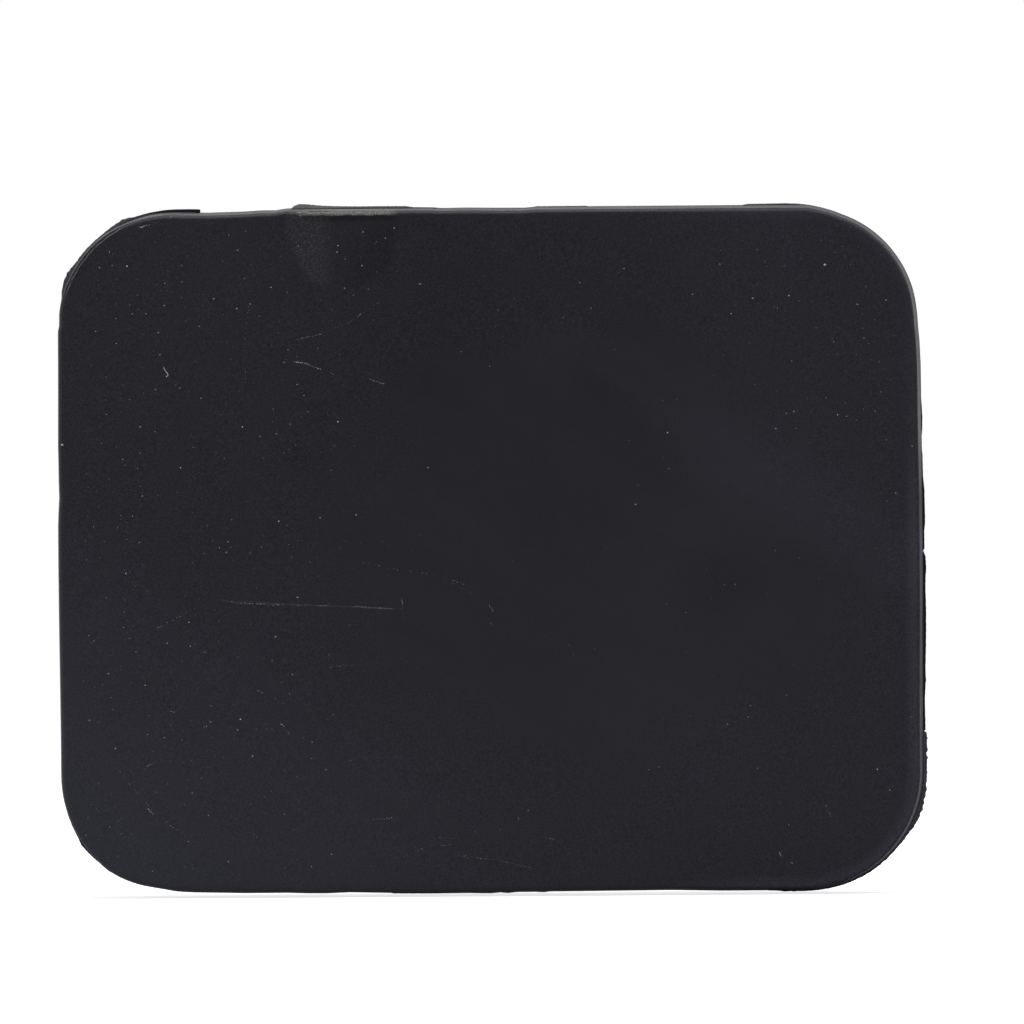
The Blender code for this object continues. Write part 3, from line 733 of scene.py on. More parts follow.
def rim_growth_tree():
    """Thin growths that stand out along the parting line: flash, and the rest of the gate.

    The object's own mesh is a chain of points for each growth. Their x is the distance round the outline,
    y how far the growth stands out, and z its tone, which the material reads.
    """
    tree = bpy.data.node_groups.new("Rim Growth", "GeometryNodeTree")
    chains = takes(tree, "Chains", "NodeSocketGeometry")
    sockets = outline_inputs(tree)
    step = takes(tree, "Step", "NodeSocketFloat", FLASH_STEP)
    thickness = takes(tree, "Thickness", "NodeSocketFloat", FLASH_THICKNESS)
    root = takes(tree, "Root", "NodeSocketFloat", FLASH_ROOT)
    ragged = takes(tree, "Raggedness", "NodeSocketFloat", FLASH_RAGGED)
    grain = takes(tree, "Grain", "NodeSocketFloat", FLASH_GRAIN)
    around = takes(tree, "Profile Points", "NodeSocketInt", FLASH_SIDES)
    seed = takes(tree, "Seed", "NodeSocketFloat", float(SEED))
    material = takes(tree, "Material", "NodeSocketMaterial")

    lines = put(tree, "GeometryNodeMeshToCurve", {"Mesh": chains}).outputs[0]
    lines = put(tree, "GeometryNodeResampleCurve", {"Curve": lines, "Length": step}, mode="LENGTH").outputs[0]
    position = put(tree, "GeometryNodeInputPosition").outputs[0]
    parts = split(tree, position)
    for name, part in (("run", "X"), ("out", "Y"), ("tone", "Z")):
        lines = stored(tree, lines, name, parts[part])
    ring = put(tree, "GeometryNodeCurvePrimitiveCircle", {"Resolution": around, "Radius": 1.0}).outputs[0]
    for name, part in (("outward", "X"), ("backward", "Y")):
        ring = stored(tree, ring, name, parts[part])
    swept = {"Curve": lines, "Profile Curve": ring, "Fill Caps": True}
    tube = put(tree, "GeometryNodeCurveToMesh", swept).outputs[0]

    run, out = named(tree, "run"), named(tree, "out")
    outward, backward = named(tree, "outward"), named(tree, "backward")
    edge, normal = outline_sample(tree, sockets, "LENGTH", run)
    spot = packed(tree, calc(tree, "DIVIDE", run, grain), backward, seed)
    noise = put(tree, "ShaderNodeTexNoise", {"Vector": spot, "Scale": 1.0, "Detail": 3.0}).outputs[0]
    rough = times(tree, ragged, ranged(tree, named(tree, "tone"), 0.0, MM, SMOOTH_SHARE, 1.0))
    worn = times(tree, ranged(tree, noise, *NOISE_SPAN), rough)
    reach = times(tree, out, minus(tree, 1.0, worn))
    outer = times(tree, calc(tree, "MAXIMUM", outward, 0.0), reach)
    inner = times(tree, calc(tree, "MINIMUM", outward, 0.0), root)
    slim = ranged(tree, outward, 0.0, 1.0, 1.0, 0.55)
    half = times(tree, thickness, 0.5)
    across = times(tree, backward, half, slim)
    stands = stretched(tree, normal, plus(tree, outer, inner))
    place = split(tree, calc_vector(tree, "ADD", edge, stands))
    target = packed(tree, place["X"], minus(tree, across, half), place["Y"])
    grown = put(tree, "GeometryNodeSetPosition", {"Geometry": tube, "Position": target}).outputs[0]
    return finished(tree, grown, material)


def stored(tree, geometry, name, value):
    """Geometry with a number kept at each of its points."""
    sockets = {"Geometry": geometry, "Name": name, "Value": value}
    return put(tree, "GeometryNodeStoreNamedAttribute", sockets, data_type="FLOAT", domain="POINT").outputs[0]


def named(tree, name):
    """A number kept under this name."""
    node = put(tree, "GeometryNodeInputNamedAttribute", {"Name": name}, data_type="FLOAT")
    return node.outputs["Attribute"]


def dust_tree():
    """Specks on the face: those of the object's own mesh, whose y is the radius, and fine random ones."""
    tree = bpy.data.node_groups.new("Dust", "GeometryNodeTree")
    chosen = takes(tree, "Specks", "NodeSocketGeometry")
    width = takes(tree, "Width", "NodeSocketFloat", WIDTH * SPECK_MARGIN)
    height = takes(tree, "Height", "NodeSocketFloat", HEIGHT * SPECK_MARGIN)
    depth = takes(tree, "Depth", "NodeSocketFloat", DEPTH)
    across = takes(tree, "Radius Across", "NodeSocketFloat", CROWN_ACROSS)
    up = takes(tree, "Radius Up", "NodeSocketFloat", CROWN_UP)
    density = takes(tree, "Density", "NodeSocketFloat", SPECK_DENSITY)
    smallest = takes(tree, "Smallest", "NodeSocketFloat", SPECK_SMALLEST)
    largest = takes(tree, "Largest", "NodeSocketFloat", SPECK_LARGEST)
    seed = takes(tree, "Seed", "NodeSocketInt", SEED)
    material = takes(tree, "Material", "NodeSocketMaterial")

    position = put(tree, "GeometryNodeInputPosition").outputs[0]
    place = split(tree, position)
    chosen = stored(tree, chosen, "speck", place["Y"])

    columns, rows = DUST_GRID
    field = {"Size X": width, "Size Y": height, "Vertices X": columns, "Vertices Y": rows}
    sheet = put(tree, "GeometryNodeMeshGrid", field).outputs["Mesh"]
    left = ranged(tree, place["X"], *DUST_LEFT, curve="SMOOTHSTEP")
    corner = plus(tree, place["X"], place["Y"])
    high = ranged(tree, corner, *DUST_CORNER, 0.0, DUST_CORNER_SHARE, "SMOOTHSTEP")
    thick = calc(tree, "MAXIMUM", calc(tree, "MAXIMUM", left, high), DUST_LEAST)
    patches = {"Vector": position, "Scale": DUST_PATCHES, "Detail": 2.0}
    patchy = put(tree, "ShaderNodeTexNoise", patches).outputs[0]
    amount = times(tree, thick, ranged(tree, patchy, 0.35, 0.65), density)
    spread = {"Mesh": sheet, "Density": amount, "Seed": seed}
    loose = put(tree, "GeometryNodeDistributePointsOnFaces", spread).outputs["Points"]
    whole = {"Min": 0.0, "Max": 1.0, "Seed": seed}
    chance = put(tree, "FunctionNodeRandomValue", whole, data_type="FLOAT").outputs
    rare = calc(tree, "POWER", next(s for s in chance if s.enabled), SPECK_RARITY)
    loose = stored(tree, loose, "speck", ranged(tree, rare, 0.0, 1.0, smallest, largest))
    lifted = {"Geometry": loose, "Position": packed(tree, place["X"], 0.0, place["Y"])}
    loose = put(tree, "GeometryNodeSetPosition", lifted).outputs[0]

    both = put(tree, "GeometryNodeJoinGeometry")
    tree.links.new(put(tree, "GeometryNodeMeshToPoints", {"Mesh": chosen}).outputs[0], both.inputs[0])
    tree.links.new(loose, both.inputs[0])
    face = minus(tree, crown_at(tree, place["X"], place["Z"], across, up), depth)
    laid = {"Geometry": both.outputs[0], "Position": packed(tree, place["X"], face, place["Z"])}
    points = put(tree, "GeometryNodeSetPosition", laid).outputs[0]

    crumb = put(tree, "GeometryNodeMeshIcoSphere", {"Radius": 1.0, "Subdivisions": 1}).outputs["Mesh"]
    full = {"Min": (0.0, 0.0, 0.0), "Max": (0.0, math.tau, 0.0), "Seed": seed}
    spin = put(tree, "FunctionNodeRandomValue", full, data_type="FLOAT_VECTOR").outputs["Value"]
    shape = {"Min": (0.6, SPECK_FLATNESS, 0.6), "Max": (1.4, SPECK_FLATNESS, 1.2), "Seed": seed}
    uneven = put(tree, "FunctionNodeRandomValue", shape, data_type="FLOAT_VECTOR").outputs["Value"]
    sockets = {"Points": points, "Instance": crumb, "Rotation": spin}
    sockets["Scale"] = stretched(tree, uneven, named(tree, "speck"))
    crumbs = put(tree, "GeometryNodeInstanceOnPoints", sockets).outputs[0]
    real = put(tree, "GeometryNodeRealizeInstances", {"Geometry": crumbs}).outputs[0]
    front = times(tree, depth, -1.0)
    held = packed(tree, place["X"], calc(tree, "MAXIMUM", place["Y"], front), place["Z"])
    flush = put(tree, "GeometryNodeSetPosition", {"Geometry": real, "Position": held}).outputs[0]
    return finished(tree, flush, material)


def draw(name, points, edges=(), faces=()):
    """A mesh object made of points, edges and faces."""
    mesh = bpy.data.meshes.new(name)
    mesh.from_pydata([Vector(point).to_3d() for point in points], list(edges), list(faces))
    made = bpy.data.objects.new(name, mesh)
    bpy.context.scene.collection.objects.link(made)
    return made


def drive(thing, tree, **inputs):
    """Gives an object a geometry tree. Words of an input's name are joined by _ here."""
    modifier = thing.modifiers.new(tree.name, "NODES")
    modifier.node_group = tree
    for item in tree.interface.items_tree:
        key = item.name.lower().replace(" ", "_")
        if item.in_out == "INPUT" and key in inputs:
            modifier[item.identifier] = inputs.pop(key)
    if inputs:
        raise ValueError(f"{tree.name} has no input {sorted(inputs)}")
    return thing


def settle(thing):
    """Turns an object's modifiers into its own plain mesh, with closed seams and its faces outwards."""
    depsgraph = bpy.context.evaluated_depsgraph_get()
    mesh = bpy.data.meshes.new_from_object(
        thing.evaluated_get(depsgraph), preserve_all_data_layers=True, depsgraph=depsgraph)
    thing.modifiers.clear()
    thing.data = mesh
    shape = bmesh.new()
    shape.from_mesh(mesh)
    bmesh.ops.remove_doubles(shape, verts=shape.verts, dist=MERGE / 10)
    bmesh.ops.dissolve_degenerate(shape, dist=MERGE / 4, edges=shape.edges)
    rims = [edge for edge in shape.edges if edge.is_boundary]
    bmesh.ops.holes_fill(shape, edges=rims, sides=HOLE_SIDES)
    bmesh.ops.recalc_face_normals(shape, faces=shape.faces)
    shape.to_mesh(mesh)
    shape.free()
    return thing


def smooth(thing):
    """Smooth shading that keeps real corners sharp."""
    thing.data.shade_smooth()
    thing.data.set_sharp_from_angle(angle=SHARP_ANGLE)
    return thing


def combine(body, helpers, operation):
    """Joins helpers to a body, or cuts it with them, one after the other, and removes them."""
    for helper in helpers:
        modifier = body.modifiers.new(helper.name, "BOOLEAN")
        modifier.object = helper
        modifier.operation = operation
        modifier.solver = "EXACT"
        settle(body)
        bpy.data.objects.remove(helper)
    return body


def belong(piece):
    """A piece of the cover: it rides with the only body."""
    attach(piece, BODY)
    return piece


def filleted(corners, closed=False):
    """A line through corners of (x, y, radius), each rounded by its radius."""
    points = []
    for i, (x, y, radius) in enumerate(corners):
        here = Vector((x, y))
        if radius == 0:
            points.append(here)
            continue
        back = (Vector(corners[i - 1][:2]) - here).normalized()
        on = (Vector(corners[(i + 1) % len(corners)][:2]) - here).normalized()
        half = back.angle(on) / 2
        centre = here + (back + on).normalized() * radius / math.sin(half)
        run = radius / math.tan(half)
        first, last = (here + back * run - centre).normalized(), (here + on * run - centre).normalized()
        points += [centre + radius * first.slerp(last, step / ARC_STEPS) for step in range(ARC_STEPS + 1)]
    return points + points[:1] if closed else points


def subdivided(points, longest):
    """The same line with no stretch longer than this."""
    fine = [points[0]]
    for first, last in zip(points, points[1:]):
        steps = max(1, math.ceil((last - first).length / longest))
        fine += [first.lerp(last, step / steps) for step in range(1, steps + 1)]
    return fine


def shell_section(sizes):
    """Over the face from its middle, down the skirt, round the rim and across the floor to its middle."""
    depth = sizes.depth
    draft = math.tan(SKIRT_DRAFT)
    floor = FACE_WALL - depth
    corners = (
        (FACE_LAND, -depth, 0),
        (depth * draft, -depth, sizes.face_fillet),
        (WITNESS_HEIGHT * 1.2 * draft, -WITNESS_HEIGHT * 1.2, 0),
        (-WITNESS, -WITNESS_HEIGHT, WITNESS / 3),
        (-WITNESS, 0.0, WITNESS),
        (RIM_WALL, 0.0, RIM_EDGE),
        (RIM_WALL - floor * draft, floor, FLOOR_FILLET),
        (FLOOR_LAND, floor, 0),
    )
    skin = [(point.x, point.y, 0.0) for point in subdivided(filleted(corners), WALL_STEP)]
    face = [(FACE_LAND, -depth, 1 - ring / FACE_RINGS) for ring in range(FACE_RINGS)]
    inside = [(FLOOR_LAND, floor, ring / FLOOR_RINGS) for ring in range(1, FLOOR_RINGS + 1)]
    return face + skin + inside


def standing_section(first, last, top, sizes):
    """A drafted wall that stands on the floor from first to last, with a hollow root and a rounded top."""
    floor = FACE_WALL - sizes.depth - ROOT_SINK
    spread = (top - floor) * math.tan(RIB_DRAFT)
    skirting = spread + ROOT_FILLET * 1.3
    corners = (
        (first - skirting, floor - BURY / 2, 0),
        (first - skirting, floor, 0),
        (first - spread, floor, ROOT_FILLET),
        (first, top, TOP_EDGE),
        (last, top, TOP_EDGE),
        (last + spread, floor, ROOT_FILLET),
        (last + skirting, floor, 0),
        (last + skirting, floor - BURY / 2, 0),
    )
    return filleted(corners, closed=True)


def clip_x(sizes):
    """Distance of the clips' outer faces from the middle."""
    return sizes.width / 2 + SIDE_BOW - FENCE_INSET + CLIP_PROUD


def clip_row(name, profile, facing, sizes, width=CLIP_WIDTH):
    """A row of clips from a profile of (out, y), with out measured from the clips' outer faces."""
    points = [(facing * (clip_x(sizes) + out), y, 0.0) for out, y in profile]
    drawn = draw(name, points, faces=[range(len(points))])
    drive(drawn, bpy.data.node_groups["Clip Row"], width=width)
    return settle(drawn)


def bevelled(thing, width):
    """Rounds sharp edges."""
    bevel = thing.modifiers.new("edges", "BEVEL")
    bevel.width = width
    bevel.segments = CLIP_EDGE_STEPS
    bevel.limit_method = "ANGLE"
    bevel.angle_limit = CLIP_EDGE_ANGLE
    return settle(thing)


def hooks(sizes):
    """Rigid legs with feet, on the left."""
    foot = FACE_WALL - sizes.depth - BURY
    sole = CATCH + HOOK_FOOT_WALL
    profile = (
        (-HOOK_WALL, foot),
        (0.0, foot),
        (0.0, CATCH),
        (HOOK_FOOT - HOOK_TOE_CUT, CATCH),
        (HOOK_FOOT, CATCH + HOOK_TOE_CUT * 0.8),
        (HOOK_FOOT, sole - HOOK_TOE_CUT),
        (HOOK_FOOT - HOOK_TOE_CUT, sole),
        (-HOOK_WALL + HOOK_TOE_CUT, sole),
        (-HOOK_WALL, sole - HOOK_TOE_CUT),
    )
    return bevelled(clip_row("hooks", profile, -1, sizes), CLIP_EDGE)


def gussets(sizes):
    """Webs that prop the hooks from inside."""
    foot = FACE_WALL - sizes.depth - BURY
    lap = HOOK_WALL / 2
    profile = (
        (-lap, foot),
        (-lap, GUSSET_REACH),
        (-HOOK_WALL, GUSSET_REACH),
        (-HOOK_WALL - GUSSET_LENGTH, foot + BURY),
        (-HOOK_WALL - GUSSET_LENGTH, foot),
    )
    return bevelled(clip_row("gussets", profile, -1, sizes, GUSSET_WALL), GUSSET_EDGE)


def tongues(sizes):
    """Springy legs with barbs, on the right."""
    foot = FACE_WALL - sizes.depth - BURY
    floor = foot + BURY
    profile = [
        (0.0, foot),
        (0.0, CATCH),
        (BARB, CATCH),
        (BARB, CATCH + BARB_LAND),
        (BARB_TIP_WALL - TONGUE_WALL, TONGUE_REACH),
        (-TONGUE_WALL, TONGUE_REACH),
    ]
    for step in range(ARC_STEPS + 1):
        turn = math.pi / 2 * step / ARC_STEPS
        inward = TONGUE_WALL + TONGUE_ROOT_RADIUS * (1 - math.cos(turn))
        profile.append((-inward, floor + TONGUE_ROOT_RADIUS * (1 - math.sin(turn))))
    profile.append((-TONGUE_WALL - TONGUE_ROOT_RADIUS, foot))
    return bevelled(clip_row("tongues", profile, 1, sizes), CLIP_EDGE)


def tongue_gaps(sizes):
    """Cutters that free the tongues from the fence."""
    bottom = FACE_WALL - sizes.depth + TONGUE_SLOT_FLOOR
    across = 4 * FENCE_WALL
    profile = (
        (-across, bottom),
        (across / 2, bottom),
        (across / 2, 2 * FENCE_REACH),
        (-across, 2 * FENCE_REACH),
    )
    return clip_row("tongue_gaps", profile, 1, sizes, CLIP_WIDTH + 2 * TONGUE_SLOT)


def fence(sizes, material):
    """The band that centres the cover in the bumper's opening."""
    section = standing_section(FENCE_INSET, FENCE_INSET + FENCE_WALL, FENCE_REACH, sizes)
    drawn = draw("fence", [(point.x, point.y, 0.0) for point in subdivided(section, 3 * WALL_STEP)])
    return settle(loft(drawn, sizes, material))


def rib_row(name, sizes, length, top, count, turn, material):
    """A row of ribs from skirt to skirt."""
    half = RIB_WALL / 2
    section = standing_section(-half, half, top, sizes)[:-1]
    edges = [(i, (i + 1) % len(section)) for i in range(len(section))]
    drawn = draw(name, [(point.x, point.y, 0.0) for point in section], edges)
    drive(drawn, bpy.data.node_groups["Rib Row"], length=length, count=count, turn=turn, material=material)
    return settle(drawn)


def ribs(sizes, material):
    """Upright ribs and one level rib."""
    reach = 2 * RIM_WALL - BURY
    upright = sizes.height - reach
    level = sizes.width - reach
    top = -RIB_SETBACK
    return [
        rib_row("upright_ribs", sizes, upright, top, RIB_COUNT, 0.0, material),
        rib_row("level_rib", sizes, level, top - CROSS_RIB_DROP, 1, math.pi / 2, material),
    ]


def pin_marks(sizes):
    """Cutters for the shallow round marks of the ejector pins, one in each field between the ribs."""
    floor = FACE_WALL - sizes.depth
    half_height = sizes.height / 2 - FENCE_INSET - FENCE_WALL
    points, faces = [], []
    for column in range(RIB_COUNT + 1):
        for side in (-1, 1):
            middle = Vector((PIN_SPACING * (column - RIB_COUNT / 2), 0.0, side * half_height / 2))
            start = len(points)
            for y in (floor - PIN_MARK_DEPTH, floor + BURY):
                for i in range(PIN_SIDES):
                    turn = math.tau * i / PIN_SIDES
                    x, z = PIN_RADIUS * math.cos(turn), PIN_RADIUS * math.sin(turn)
                    points.append(middle + Vector((x, y, z)))
            faces += [range(start, start + PIN_SIDES), range(start + PIN_SIDES, start + 2 * PIN_SIDES)]
            for i in range(PIN_SIDES):
                j = (i + 1) % PIN_SIDES
                faces.append((start + i, start + j, start + PIN_SIDES + j, start + PIN_SIDES + i))
    return settle(draw("pin_marks", points, faces=faces))


def drive_round(drawn, name, sizes, material, **settings):
    """Gives an object a geometry tree that follows the outline."""
    return drive(drawn, bpy.data.node_groups[name], width=sizes.width, height=sizes.height,
                 corner_radius=sizes.corner_radius, side_bow=SIDE_BOW, material=material, **settings)


def loft(drawn, sizes, material, **settings):
    """Sends a drawn section round the outline."""
    return drive_round(drawn, "Outline Loft", sizes, material, stations=STATIONS, **settings)


def run_at(side, along, sizes):
    """Distance round the outline curve of a place along a side, measured clockwise from the side's middle."""
    corner = sizes.corner_radius * math.pi / 2
    straights = [span - 2 * sizes.corner_radius for span in (sizes.width, sizes.height) * 2]
    number = SIDES.index(side)
    start = sum(straights[:number]) + (number + 1) * corner
    return (start + straights[number] / 2 - along) % outline_length(sizes)


def outline_length(sizes):
    """Length of the whole outline."""
    return 2 * (sizes.width + sizes.height) - (8 - math.tau) * sizes.corner_radius


def hollow_at(run, sizes):
    """How far the moulding's edge falls short at this distance round the outline."""
    total = outline_length(sizes)
    for side, places in HOLLOWS:
        for (along, short), (next_along, next_short) in zip(places, places[1:]):
            past = (run_at(side, along, sizes) - run) % total
            if past < next_along - along:
                return short + (next_short - short) * past / (next_along - along)
    return 0.0


def hollows(sizes):
    """A point for each station of the loft; its y is how far the edge falls short there."""
    total = outline_length(sizes)
    return draw("hollows", [(0.0, hollow_at(total * i / STATIONS, sizes), 0.0) for i in range(STATIONS + 1)])


def crumb_line(gap, radius, points, chance):
    """Uneven crumbs of (x, z, radius) strewn along a line, in millimetres."""
    crumbs = []
    for (x, z), (next_x, next_z) in zip(points, points[1:]):
        length = math.hypot(next_x - x, next_z - z)
        for step in range(math.ceil(length / gap)):
            share = min(1.0, (step + chance.random()) * gap / length)
            across = chance.gauss(0.0, CRUMB_JITTER)
            crumb_x = x + (next_x - x) * share - (next_z - z) / length * across
            crumb_z = z + (next_z - z) * share + (next_x - x) / length * across
            crumbs.append((crumb_x, crumb_z, radius * chance.uniform(0.5, 1.3)))
    return crumbs


def growth_chains(name, growths, sizes):
    """The chains of points that the rim growth tree reads."""
    points, edges = [], []
    for side, tone, places in growths:
        for i, (along, out) in enumerate(places):
            if i:
                edges.append((len(points) - 1, len(points)))
            points.append((run_at(side, along, sizes), out, tone * MM))
    return draw(name, points, edges)


def grow(drawn, sizes, material, **settings):
    """Grows chains along the rim as closed ragged ridges."""
    return smooth(settle(drive_round(drawn, "Rim Growth", sizes, material, **settings)))


def new_material(name):
    """A material with an empty tree but for its output and a Principled shader."""
    material = bpy.data.materials.new(name)
    material.use_nodes = True
    tree = material.node_tree
    return material, tree, tree.nodes["Principled BSDF"]


def millimetres(tree):
    """Object coordinates in millimetres."""
    place = put(tree, "ShaderNodeTexCoord").outputs["Object"]
    return stretched(tree, place, 1 / MM)


def noise(tree, place, size, detail=2.0, roughness=0.5, seed=0.0):
    """Noise whose grains are about size millimetres wide, from 0 to 1."""
    moved = calc_vector(tree, "ADD", place, (seed, seed, seed))
    sockets = {"Vector": moved, "Scale": 1 / size, "Detail": detail, "Roughness": roughness}
    return put(tree, "ShaderNodeTexNoise", sockets).outputs["Fac"]


def swing(tree, wave, low, high):
    """Noise, most of which lies in NOISE_SPAN, moved to another range."""
    return ranged(tree, wave, *NOISE_SPAN, low, high)


def coat(tree, shader, colour, roughness, height, strength, depth, gloss=None):
    """Gives a shader its colour, roughness and bump, whose depth is in millimetres, and perhaps a gloss."""
    join(tree, colour, shader.inputs["Base Color"])
    join(tree, roughness, shader.inputs["Roughness"])
    bump = put(tree, "ShaderNodeBump", {"Strength": strength, "Distance": depth * MM, "Height": height})
    join(tree, bump.outputs["Normal"], shader.inputs["Normal"])
    if gloss is not None:
        shader.inputs["Specular IOR Level"].default_value = gloss


def blend(tree, share, first, second):
    """A colour between two."""
    node = put(tree, "ShaderNodeMix", data_type="RGBA")
    join(tree, share, node.inputs["Factor"])
    join(tree, first, next(s for s in node.inputs if s.name == "A" and s.enabled))
    join(tree, second, next(s for s in node.inputs if s.name == "B" and s.enabled))
    return next(s for s in node.outputs if s.enabled)


def stroke_group():
    """Mask of one straight stroke: 1 on the line from one end to the other, 0 beyond its half width."""
    tree = bpy.data.node_groups.new("Stroke", "ShaderNodeTree")
    place = takes(tree, "Place", "NodeSocketVector")
    start = takes(tree, "From", "NodeSocketVector")
    end = takes(tree, "To", "NodeSocketVector")
    half = takes(tree, "Half Width", "NodeSocketFloat", 0.06)
    past = calc_vector(tree, "SUBTRACT", place, start)
    line = calc_vector(tree, "SUBTRACT", end, start)
    share = calc(tree, "DIVIDE", calc_vector(tree, "DOT_PRODUCT", past, line),
                 calc_vector(tree, "DOT_PRODUCT", line, line))
    held = ranged(tree, share, 0.0, 1.0)
    away = calc_vector(tree, "LENGTH", calc_vector(tree, "SUBTRACT", past, stretched(tree, line, held)))
    gives(tree, "Mask", "NodeSocketFloat", ranged(tree, away, 0.0, half, 1.0, 0.0, "SMOOTHSTEP"))
    return tree


def inset_group():
    """How far a point lies inside the rim's outline, in millimetres."""
    tree = bpy.data.node_groups.new("Inset", "ShaderNodeTree")
    place = takes(tree, "Place", "NodeSocketVector")
    radius = CORNER_RADIUS / MM
    reach = (WIDTH / MM / 2 - radius, 0.0, HEIGHT / MM / 2 - radius)
    past = calc_vector(tree, "SUBTRACT", calc_vector(tree, "ABSOLUTE", place), reach)
    x, _y, z = split(tree, past)
    outside = packed(tree, calc(tree, "MAXIMUM", x, 0.0), 0.0, calc(tree, "MAXIMUM", z, 0.0))
    inside = calc(tree, "MINIMUM", calc(tree, "MAXIMUM", x, z), 0.0)
    signed = plus(tree, calc_vector(tree, "LENGTH", outside), inside)
    gives(tree, "Inset", "NodeSocketFloat", minus(tree, radius, signed))
    return tree


def stroke_mask(tree, flat, start, end, half):
    """Mask of a stroke from start to end, both (x, z)."""
    ends = {"From": (start[0], 0.0, start[1]), "To": (end[0], 0.0, end[1])}
    sockets = {"Place": flat, "Half Width": half, **ends}
    return put(tree, "ShaderNodeGroup", sockets, node_tree=bpy.data.node_groups["Stroke"]).outputs["Mask"]


def marks(tree, flat, kind):
    """All painted marks of one kind as one mask."""
    total = 0.0
    for mark_kind, strength, half, start, end in MARKS:
        if mark_kind == kind:
            mask = times(tree, stroke_mask(tree, flat, start, end, half), strength)
            total = calc(tree, "MAXIMUM", total, mask)
    return total


def sheared_edge_and_shade(tree, flat, crumbs):
    """Colour and strength of the bands where the gate was sheared off: pale whitening, and painted shade in
    the dark bands.
    """
    x, _y, z = split(tree, flat)
    (low, _colour, _strength), (high, _colour, _strength) = SHEARED_BANDS_AND_SHADE[0], SHEARED_BANDS_AND_SHADE[-1]
    ramp = put(tree, "ShaderNodeValToRGB", {"Fac": ranged(tree, z, low, high)})
    stops = ramp.color_ramp.elements
    while len(stops) < len(SHEARED_BANDS_AND_SHADE):
        stops.new(0.5)
    for stop, (height, colour, strength) in zip(stops, SHEARED_BANDS_AND_SHADE):
        stop.position = (height - low) / (high - low)
        stop.color = (*colour, strength)
    held = times(tree, ranged(tree, x, SHEARED[0] - 0.1, SHEARED[0] + 0.1),
                ranged(tree, x, SHEARED[1], SHEARED[1] - 0.9))
    held = times(tree, held, ranged(tree, crumbs, 0.36, 0.56, 0.35, 1.0))
    return ramp.outputs["Color"], times(tree, held, ramp.outputs["Alpha"])


def near(tree, place, spot, full, end):
    """1 up to a distance from a spot (x, z), and 0 from another distance on, in millimetres."""
    away = calc_vector(tree, "DISTANCE", place, (spot[0], 0.0, spot[1]))
    return ranged(tree, away, end, full, curve="SMOOTHSTEP")


def face_tone_and_painted_light(tree, flat, grain):
    """How much lighter or darker the plastic is from place to place; 1 is the plain colour.

    Broad soft patches, diagonal bands in the smooth part of the face, and grain that is strong elsewhere. It
    also holds painted light: the lower left corner and the right side are painted lighter, and the upper
    middle darker.
    """
    x, _y, z = split(tree, flat)
    cloud = noise(tree, flat, 13.0, 2.0, 0.5, 5.0)
    mottle = noise(tree, flat, 1.3, 3.0, 0.6, 11.0)
    along = calc(tree, "DIVIDE", calc_vector(tree, "DOT_PRODUCT", flat, BANDS_ALONG), BANDS_STRETCH)
    across = calc_vector(tree, "DOT_PRODUCT", flat, BANDS_ACROSS)
    bands = noise(tree, packed(tree, along, across, 0.0), 3.4, 2.0, 0.5, 23.0)
    skewed = calc_vector(tree, "MULTIPLY", calc_vector(tree, "SUBTRACT", flat, SMOOTH_MIDDLE), SMOOTH_SQUEEZE)
    ragged = plus(tree, calc_vector(tree, "LENGTH", skewed), swing(tree, cloud, -0.2, 0.2))
    smooth_part = ranged(tree, ragged, 1.15, 0.80, curve="SMOOTHSTEP")
    low_left = minus(tree, times(tree, x, -0.6), z)
    light_band = times(tree, stroke_mask(tree, flat, *LIGHT_BAND, LIGHT_BAND_HALF),
                       ranged(tree, bands, 0.3, 0.6, 0.4, 1.0))
    return plus(
        tree,
        1.0,
        # painted light: lighter towards the lower left corner
        ranged(tree, low_left, 14.0, 46.0, 0.0, 0.60),
        # painted light: a little lighter towards the right side
        ranged(tree, plus(tree, x, times(tree, z, 0.2)), 10.0, 30.0, 0.0, 0.08),
        *(times(tree, near(tree, flat, spot, full, end), share) for spot, full, end, share in TONE_SPOTS),
        times(tree, light_band, 0.20),
        swing(tree, cloud, -0.06, 0.06),
        swing(tree, mottle, -0.03, 0.03),
        times(tree, smooth_part, swing(tree, bands, -0.06, 0.06)),
        times(tree, swing(tree, grain, -1.0, 1.0), ranged(tree, smooth_part, 0.0, 1.0, 0.42, 0.10)),
    )


def painted_edge_lines(tree, place, flat, inset):
    """Wave from -1 to 1 of nested painted highlight and shade lines along a stretch of the edge, and 0 away
    from it.
    """
    broken = noise(tree, place, 1.1, 2.0, 0.6, 17.0)
    turn = plus(tree, times(tree, inset, math.tau / PAINTED_LINES_GAP), times(tree, broken, 3.0))
    here = near(tree, flat, PAINTED_LINES_MIDDLE, PAINTED_LINES_REACH - 1.0, PAINTED_LINES_REACH + 0.5)
    held = times(tree, here, ranged(tree, inset, 0.75, 0.55), ranged(tree, broken, 0.35, 0.55))
    return times(tree, calc(tree, "SINE", turn), held)


def worn_side(tree, x, z):
    """Strongest on the lower right stretch of the edge, which is scuffed and painted with a soft sheen, and
    less above it.
    """
    return times(tree, ranged(tree, z, *WORN_LOWER, *WORN_SHARES), ranged(tree, x, *WORN_RIGHT))


